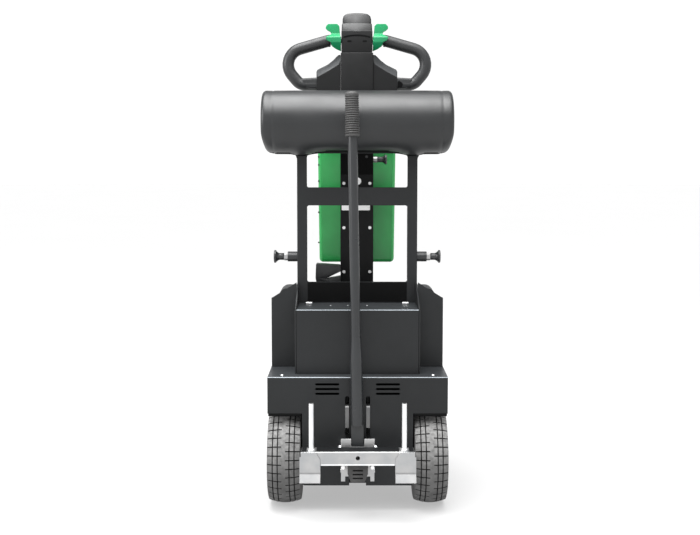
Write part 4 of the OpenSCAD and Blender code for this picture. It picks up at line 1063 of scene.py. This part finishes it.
def bow_front(bm):
    """Rounds the front of the cap across its width."""
    for k in range(-bow_cuts, bow_cuts + 1):
        cut_across(bm, (k * neck_half / (bow_cuts + 1), 0, 0), (1, 0, 0))
    for v in bm.verts:
        if v.co.y < cap_middle_y:
            v.co.y += cap_bow * (v.co.x / neck_half) ** 2


def bowed(half, z, sag, steps=8):
    """A line across the head, from left to right, that sags towards its ends."""
    return [(half * k / steps, z - sag * (k / steps) ** 2) for k in range(-steps, steps + 1)]


def cap_rim():
    """The fixed lower part of the cap, with an arched lip."""
    bm = bmesh.new()
    lip = bowed(neck_half, cap_base_z, lip_sag)
    outline = lip + [(neck_half - 0.0015, cap_line_z - 0.001), (-neck_half + 0.0015, cap_line_z - 0.001)]
    slab(bm, outline, head_y0 - 0.0005, head_y1 - 0.002)
    ease_edges(bm, 0.0025)
    slope_front(bm)
    bow_front(bm)
    new_piece("cap_rim", bm, "head", cap_plastic, "dark_plastic", creases=35)


def cap_lip_shadow():
    """A black sheet under the cap's lip, painted shadow."""
    bm = bmesh.new()
    low = bowed(lip_shadow_half, cap_base_z - lip_shadow_drop, lip_shadow_sag)
    high = [(x, z + lip_shadow_h) for x, z in reversed(low)]
    slab(bm, low + high, head_y0 + 0.0004, head_y0 + 0.020)
    new_piece("cap_lip_painted_shadow", bm, "head", black_rubber_and_painted_shade, "dark_plastic")


def cap_press():
    """The part of the cap that is pressed down."""
    bm = bmesh.new()
    half = neck_half - 0.003
    top = bowed(half - 0.0105, cap_top_z, 0.0025)
    right = [
        (half, cap_line_z - 0.006), (half - 0.0002, cap_line_z + 0.012), (half - 0.003, cap_line_z + 0.0215),
    ]
    left = [(-x, z) for x, z in reversed(right)]
    slab(bm, right + top[::-1] + left, head_y0 + 0.005, head_y1 - 0.005)
    ease_edges(bm, 0.005, 4, angle=50)
    slope_front(bm)
    bow_front(bm)
    new_piece("cap_press", bm, "cap_button", cap_plastic, "dark_plastic", "cap_button", creases=35)


def handle_loop(side, hand):
    """One handle loop, from the lever's shaft round to the foot on its arm."""
    bm = bmesh.new()
    low_z = throttle_z - loop_h
    corners = [
        (shaft_end, throttle_z), (shaft_end + 0.008, throttle_z), (loop_x, throttle_z - 0.043),
        (0.164, low_z), (wing_x, low_z),
    ]
    bent_tube(bm, [(side * x, z) for x, z in corners], loop_bends, throttle_y, loop_r)
    new_piece("handle_loop_" + hand, bm, "head", handle_plastic, "black_coat", "handle_loops", creases=50)


def loop_caps():
    """The dark end rings at the upper ends of the loops."""
    bm = bmesh.new()
    profile = [
        (0, 0.0062), (0, loop_r - 0.002), (0.0015, loop_r + 0.0004), (0.006, loop_r + 0.0004),
        (0.0065, loop_r - 0.001),
    ]
    turned(bm, profile, (shaft_end - 0.0002, throttle_y, throttle_z), (1, 0, 0), 40)
    mirrored(bm)
    new_piece("loop_end_caps", bm, "head", motor_black, "dark_plastic")


def throttle_shafts():
    """The steel shafts that the butterfly levers turn on."""
    bm = bmesh.new()
    ends = (0.040, shaft_end + 0.001)
    profile = [(ends[0], 0), (ends[0], shaft_r), (ends[1], shaft_r), (ends[1], 0)]
    turned(bm, profile, (0, throttle_y, throttle_z), (1, 0, 0), 24)
    mirrored(bm)
    new_piece("throttle_shafts", bm, "head", shaft_steel, "dark_plastic")


head_column()
head_neck()
neck_recesses()
head_wings()
head_arms()
arm_corner_shade()
cap_rim()
cap_lip_shadow()
cap_press()
for side, hand in hands:
    handle_loop(side, hand)
loop_caps()
throttle_shafts()


# Butterfly levers

leaf_outline = [
    (0.0455, -0.0305), (0.0593, -0.0249), (0.0715, -0.0171), (0.0750, -0.0060), (0.0852, -0.0015),
    (0.0903, 0.0063), (0.0866, 0.0104), (0.0732, 0.0178), (0.0762, 0.0244), (0.0840, 0.0281),
    (0.0903, 0.0348), (0.0887, 0.0415), (0.0825, 0.0477), (0.0567, 0.0477), (0.0504, 0.0415),
    (0.0490, 0.0244), (0.0460, 0.0020),
]
leaf_rounds = [
    0.001, 0.004, 0.005, 0.003, 0.003, 0.004, 0.003, 0.003, 0.004, 0.004, 0.004, 0.004, 0.005, 0.006, 0.006,
    0.006, 0.004,
]
leaf_bend = [(-0.0310, -0.0060), (-0.0060, -0.0226), (0.0080, -0.0240), (0.0200, -0.0068), (0.0480, -0.0068)]
leaf_t = 0.0052
leaf_low = -0.030
leaf_cuts = 36
cut_step = 0.0022
bridge_x = (0.0475, 0.069)
bridge_half_h = 0.008
hub_profile = [
    (0.0455, 0.0062), (0.0455, 0.0115), (0.0470, 0.013), (0.0740, 0.013), (0.0752, 0.0118), (0.0752, 0.0062),
]


def bend_at(height):
    """How far forward or back the leaf lies at a height from the shaft."""
    for (low, near), (high, far) in zip(leaf_bend, leaf_bend[1:]):
        if height <= high:
            return near + (far - near) * (height - low) / (high - low)
    return leaf_bend[-1][1]


def throttle_leaf():
    """The bent leaf of a lever, with a thumb wing above and a finger paddle below."""
    bm = bmesh.new()
    outline = rounded([(x, throttle_z + z) for x, z in leaf_outline], leaf_rounds, 4)
    slab(bm, outline, throttle_y - leaf_t / 2, throttle_y + leaf_t / 2)
    ease_edges(bm, 0.0014)
    for k in range(leaf_cuts):
        cut_across(bm, (0, 0, throttle_z + leaf_low + k * cut_step), (0, 0, 1))
    for v in bm.verts:
        v.co.y += bend_at(v.co.z - throttle_z)
    return bm


def throttle_bridge():
    """The block that joins a leaf to its hub."""
    bm = bmesh.new()
    outline = rect(bridge_x, (throttle_z - bridge_half_h, throttle_z + bridge_half_h))
    slab(bm, outline, throttle_y - 0.022, throttle_y - 0.004)
    ease_edges(bm, 0.003)
    return bm


def throttle_hub():
    bm = bmesh.new()
    turned(bm, hub_profile, (0, throttle_y, throttle_z), (1, 0, 0), 36)
    return bm


def throttle_lever(side, hand):
    """One green lever. Its faces below the shaft that don't look up are the duller green."""
    bm = throttle_leaf()
    joined(bm, throttle_bridge())
    joined(bm, throttle_hub())
    if side < 0:
        bmesh.ops.scale(bm, verts=bm.verts, vec=(-1, 1, 1))
        bmesh.ops.reverse_faces(bm, faces=bm.faces)
    bm.normal_update()
    for face in bm.faces:
        if face.normal.z < 0.30 and face.calc_center_median().z < throttle_z + 0.009:
            face.material_index = second_finish
    body = "throttle_" + hand
    lever = new_piece("butterfly_" + hand, bm, body, lever_green, "green_plastic", body, creases=30)
    lever.data.materials.append(paddle_green)


for side, hand in hands:
    throttle_lever(side, hand)


# Green back cover of the tiller

back_low, back_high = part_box("green_cover")
cover_round = 0.010
cover_back_round = 0.011
cover_rounds = [0.012, 0.012, 0.10, 0.016, 0.016, 0.10]
side_screw_z = (0.935, 0.911, 0.863, 0.7705, 0.680)
plate_x = (-0.044, 0.038)
plate_z = (0.7800, 0.7955)
sticker_place = (0.002, 0.8643)
sticker_r = 0.0105
top_bolt_x = 0.0284
top_bolt_z = 0.9344


def back_cover():
    bm = bmesh.new()
    half = back_high.x
    outline = [
        (-half + 0.005, back_low.z), (half - 0.005, back_low.z), (half, back_high.z - 0.040),
        (half - 0.012, back_high.z), (-half + 0.012, back_high.z), (-half, back_high.z - 0.040),
    ]
    slab(bm, rounded(outline, cover_rounds, 8), back_low.y, back_high.y)
    rear = [e for e in sharp_edges(bm, 40) if all(v.co.y > back_high.y - merge_gap for v in e.verts)]
    front = [e for e in sharp_edges(bm, 40) if all(v.co.y < back_low.y + merge_gap for v in e.verts)]
    bevel_edges(bm, rear, cover_back_round, 6)
    bevel_edges(bm, front, cover_round, 6)
    cover = new_piece("back_cover", bm, "tiller", cover_green, "green_plastic", "green_cover", creases=50)
    settle_normals(cover)


def cover_side_screws():
    """Small black screws down the left edge of the green cover."""
    bm = bmesh.new()
    reach = cover_round * (1 - math.sqrt(0.5))
    places = [(reach - back_high.x, back_low.y + reach, z) for z in side_screw_z]
    button_screws(bm, places, 0.0026, (-1, -1, 0))
    new_piece("cover_side_screws", bm, "tiller", black_rubber_and_painted_shade, "dark_plastic", creases=35)


def mast_labels():
    """A bare white plate and a bare round sticker on the mast's cover plate."""
    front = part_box("mast_plate")[0].y
    bm = bmesh.new()
    for outline in (rounded(rect(plate_x, plate_z), 0.0015, 3), arc(sticker_place, sticker_r, 0, 345, 23)):
        slab(bm, outline, front - 0.0004, front + 0.0002)
    new_piece("mast_labels", bm, "tiller", label_white, "dark_plastic")


def mast_top_bolt():
    """The bolt that holds the slide pad inside the mast's top."""
    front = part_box("outer_mast")[0].y
    bm = bmesh.new()
    button_screws(bm, [(top_bolt_x, front, top_bolt_z)], 0.0040, (0, -1, 0))
    new_piece("mast_top_bolt", bm, "tiller", sleeve_coat, "zinc_plate", creases=35)


back_cover()
cover_side_screws()
mast_labels()
mast_top_bolt()


# Finishes of the pieces that keep the CAD shape

cad_finish = {
    "tyre_left": tyre, "tyre_right": tyre, "rim_left": rim_grey, "rim_right": rim_grey,
    "caster_wheel_left": caster_rubber, "caster_wheel_right": caster_rubber,
    "hitch_lever": lever_coat, "inner_mast": mast_coat, "plunger_sleeves": sleeve_coat,
    "tiller_bracket": charcoal, "hitch_pad": pad_rubber, "batteries": battery_plastic,
    "battery_link": battery_brass, "switch_bases": knob_plastic, "charge_socket": knob_plastic,
    "transaxle": cast_alloy, "motor_controller": cast_alloy, "drive_motor": motor_black,
    "motor_brake": motor_black, "half_shaft_left": shaft_steel, "half_shaft_right": shaft_steel,
    # The guide rods are black, which also paints the apron's slots dark as shade.
    "horn_button": lever_green, "stop_button": stop_red, "guide_rods": motor_black,
    "hitch_bolts": bolt_steel, "mast_screws": bolt_steel, "tiller_spring": shaft_steel,
}
for name, node in cad.items():
    node.data.materials.clear()
    node.data.materials.append(cad_finish.get(name, zinc))


# Stage

floor_r = 40
floor_level = 0.30
floor_glow = 0.42
sky_fall = (0.20, 0.60)
sky_low = 1.05
sky_high = 0.35


def build_floor():
    """A plain pale floor, lit a little from below as a light table is."""
    bm = bmesh.new()
    bmesh.ops.create_circle(bm, cap_ends=True, segments=96, radius=floor_r)
    mesh = bpy.data.meshes.new("floor")
    bm.to_mesh(mesh)
    bm.free()
    finish = Finish("studio_floor", grey(floor_level), 0.95, shine=0.1)
    finish.shader.inputs["Emission Color"].default_value = (1, 1, 1, 1)
    finish.shader.inputs["Emission Strength"].default_value = floor_glow
    finish.paint(finish.colours(finish.noise(0.6, 2), grey(floor_level * 0.985), grey(floor_level)))
    mesh.materials.append(finish.material)
    floor = bpy.data.objects.new("floor", mesh)
    bpy.context.scene.collection.objects.link(floor)


def soft_box(name, place, aim, size, power):
    data = bpy.data.lights.new(name, "AREA")
    data.shape = "RECTANGLE"
    data.size, data.size_y = size
    data.energy = power
    light = bpy.data.objects.new(name, data)
    light.location = place
    light.rotation_euler = (Vector(aim) - Vector(place)).to_track_quat("-Z", "Y").to_euler()
    bpy.context.scene.collection.objects.link(light)


def studio_sky():
    """A white room that is darker overhead."""
    world = bpy.data.worlds.new("studio")
    bpy.context.scene.world = world
    world.use_nodes = True
    nodes = world.node_tree.nodes
    links = world.node_tree.links
    direction = nodes.new("ShaderNodeTexCoord").outputs["Generated"]
    split = nodes.new("ShaderNodeSeparateXYZ")
    links.new(direction, split.inputs["Vector"])
    fall = nodes.new("ShaderNodeMapRange")
    fall.inputs["From Min"].default_value = sky_fall[0]
    fall.inputs["From Max"].default_value = sky_fall[1]
    fall.inputs["To Min"].default_value = sky_low
    fall.inputs["To Max"].default_value = sky_high
    links.new(split.outputs["Z"], fall.inputs["Value"])
    links.new(fall.outputs["Result"], nodes["Background"].inputs["Strength"])
    nodes["Background"].inputs["Color"].default_value = (1, 1, 1, 1)


def sun(power, spread, tilt, turn):
    """Broad even light from overhead. Tilt is its lean from straight down, turn its direction."""
    data = bpy.data.lights.new("ceiling_light", "SUN")
    data.energy = power
    data.angle = math.radians(spread)
    light = bpy.data.objects.new("ceiling_light", data)
    light.rotation_euler = (math.radians(tilt), 0, math.radians(turn))
    bpy.context.scene.collection.objects.link(light)


def studio_light():
    studio_sky()
    sun(power=4.6, spread=80, tilt=14, turn=8)
    soft_box("overhead_box", place=(-0.45, -0.5, 3.3), aim=(0, 0, 0.8), size=(2.6, 1.8), power=110)
    soft_box("left_box", place=(-2.6, -1.0, 1.9), aim=(0, 0, 0.9), size=(1.2, 1.6), power=45)


build_floor()
studio_light()
bpy.context.scene.view_settings.view_transform = "Standard"
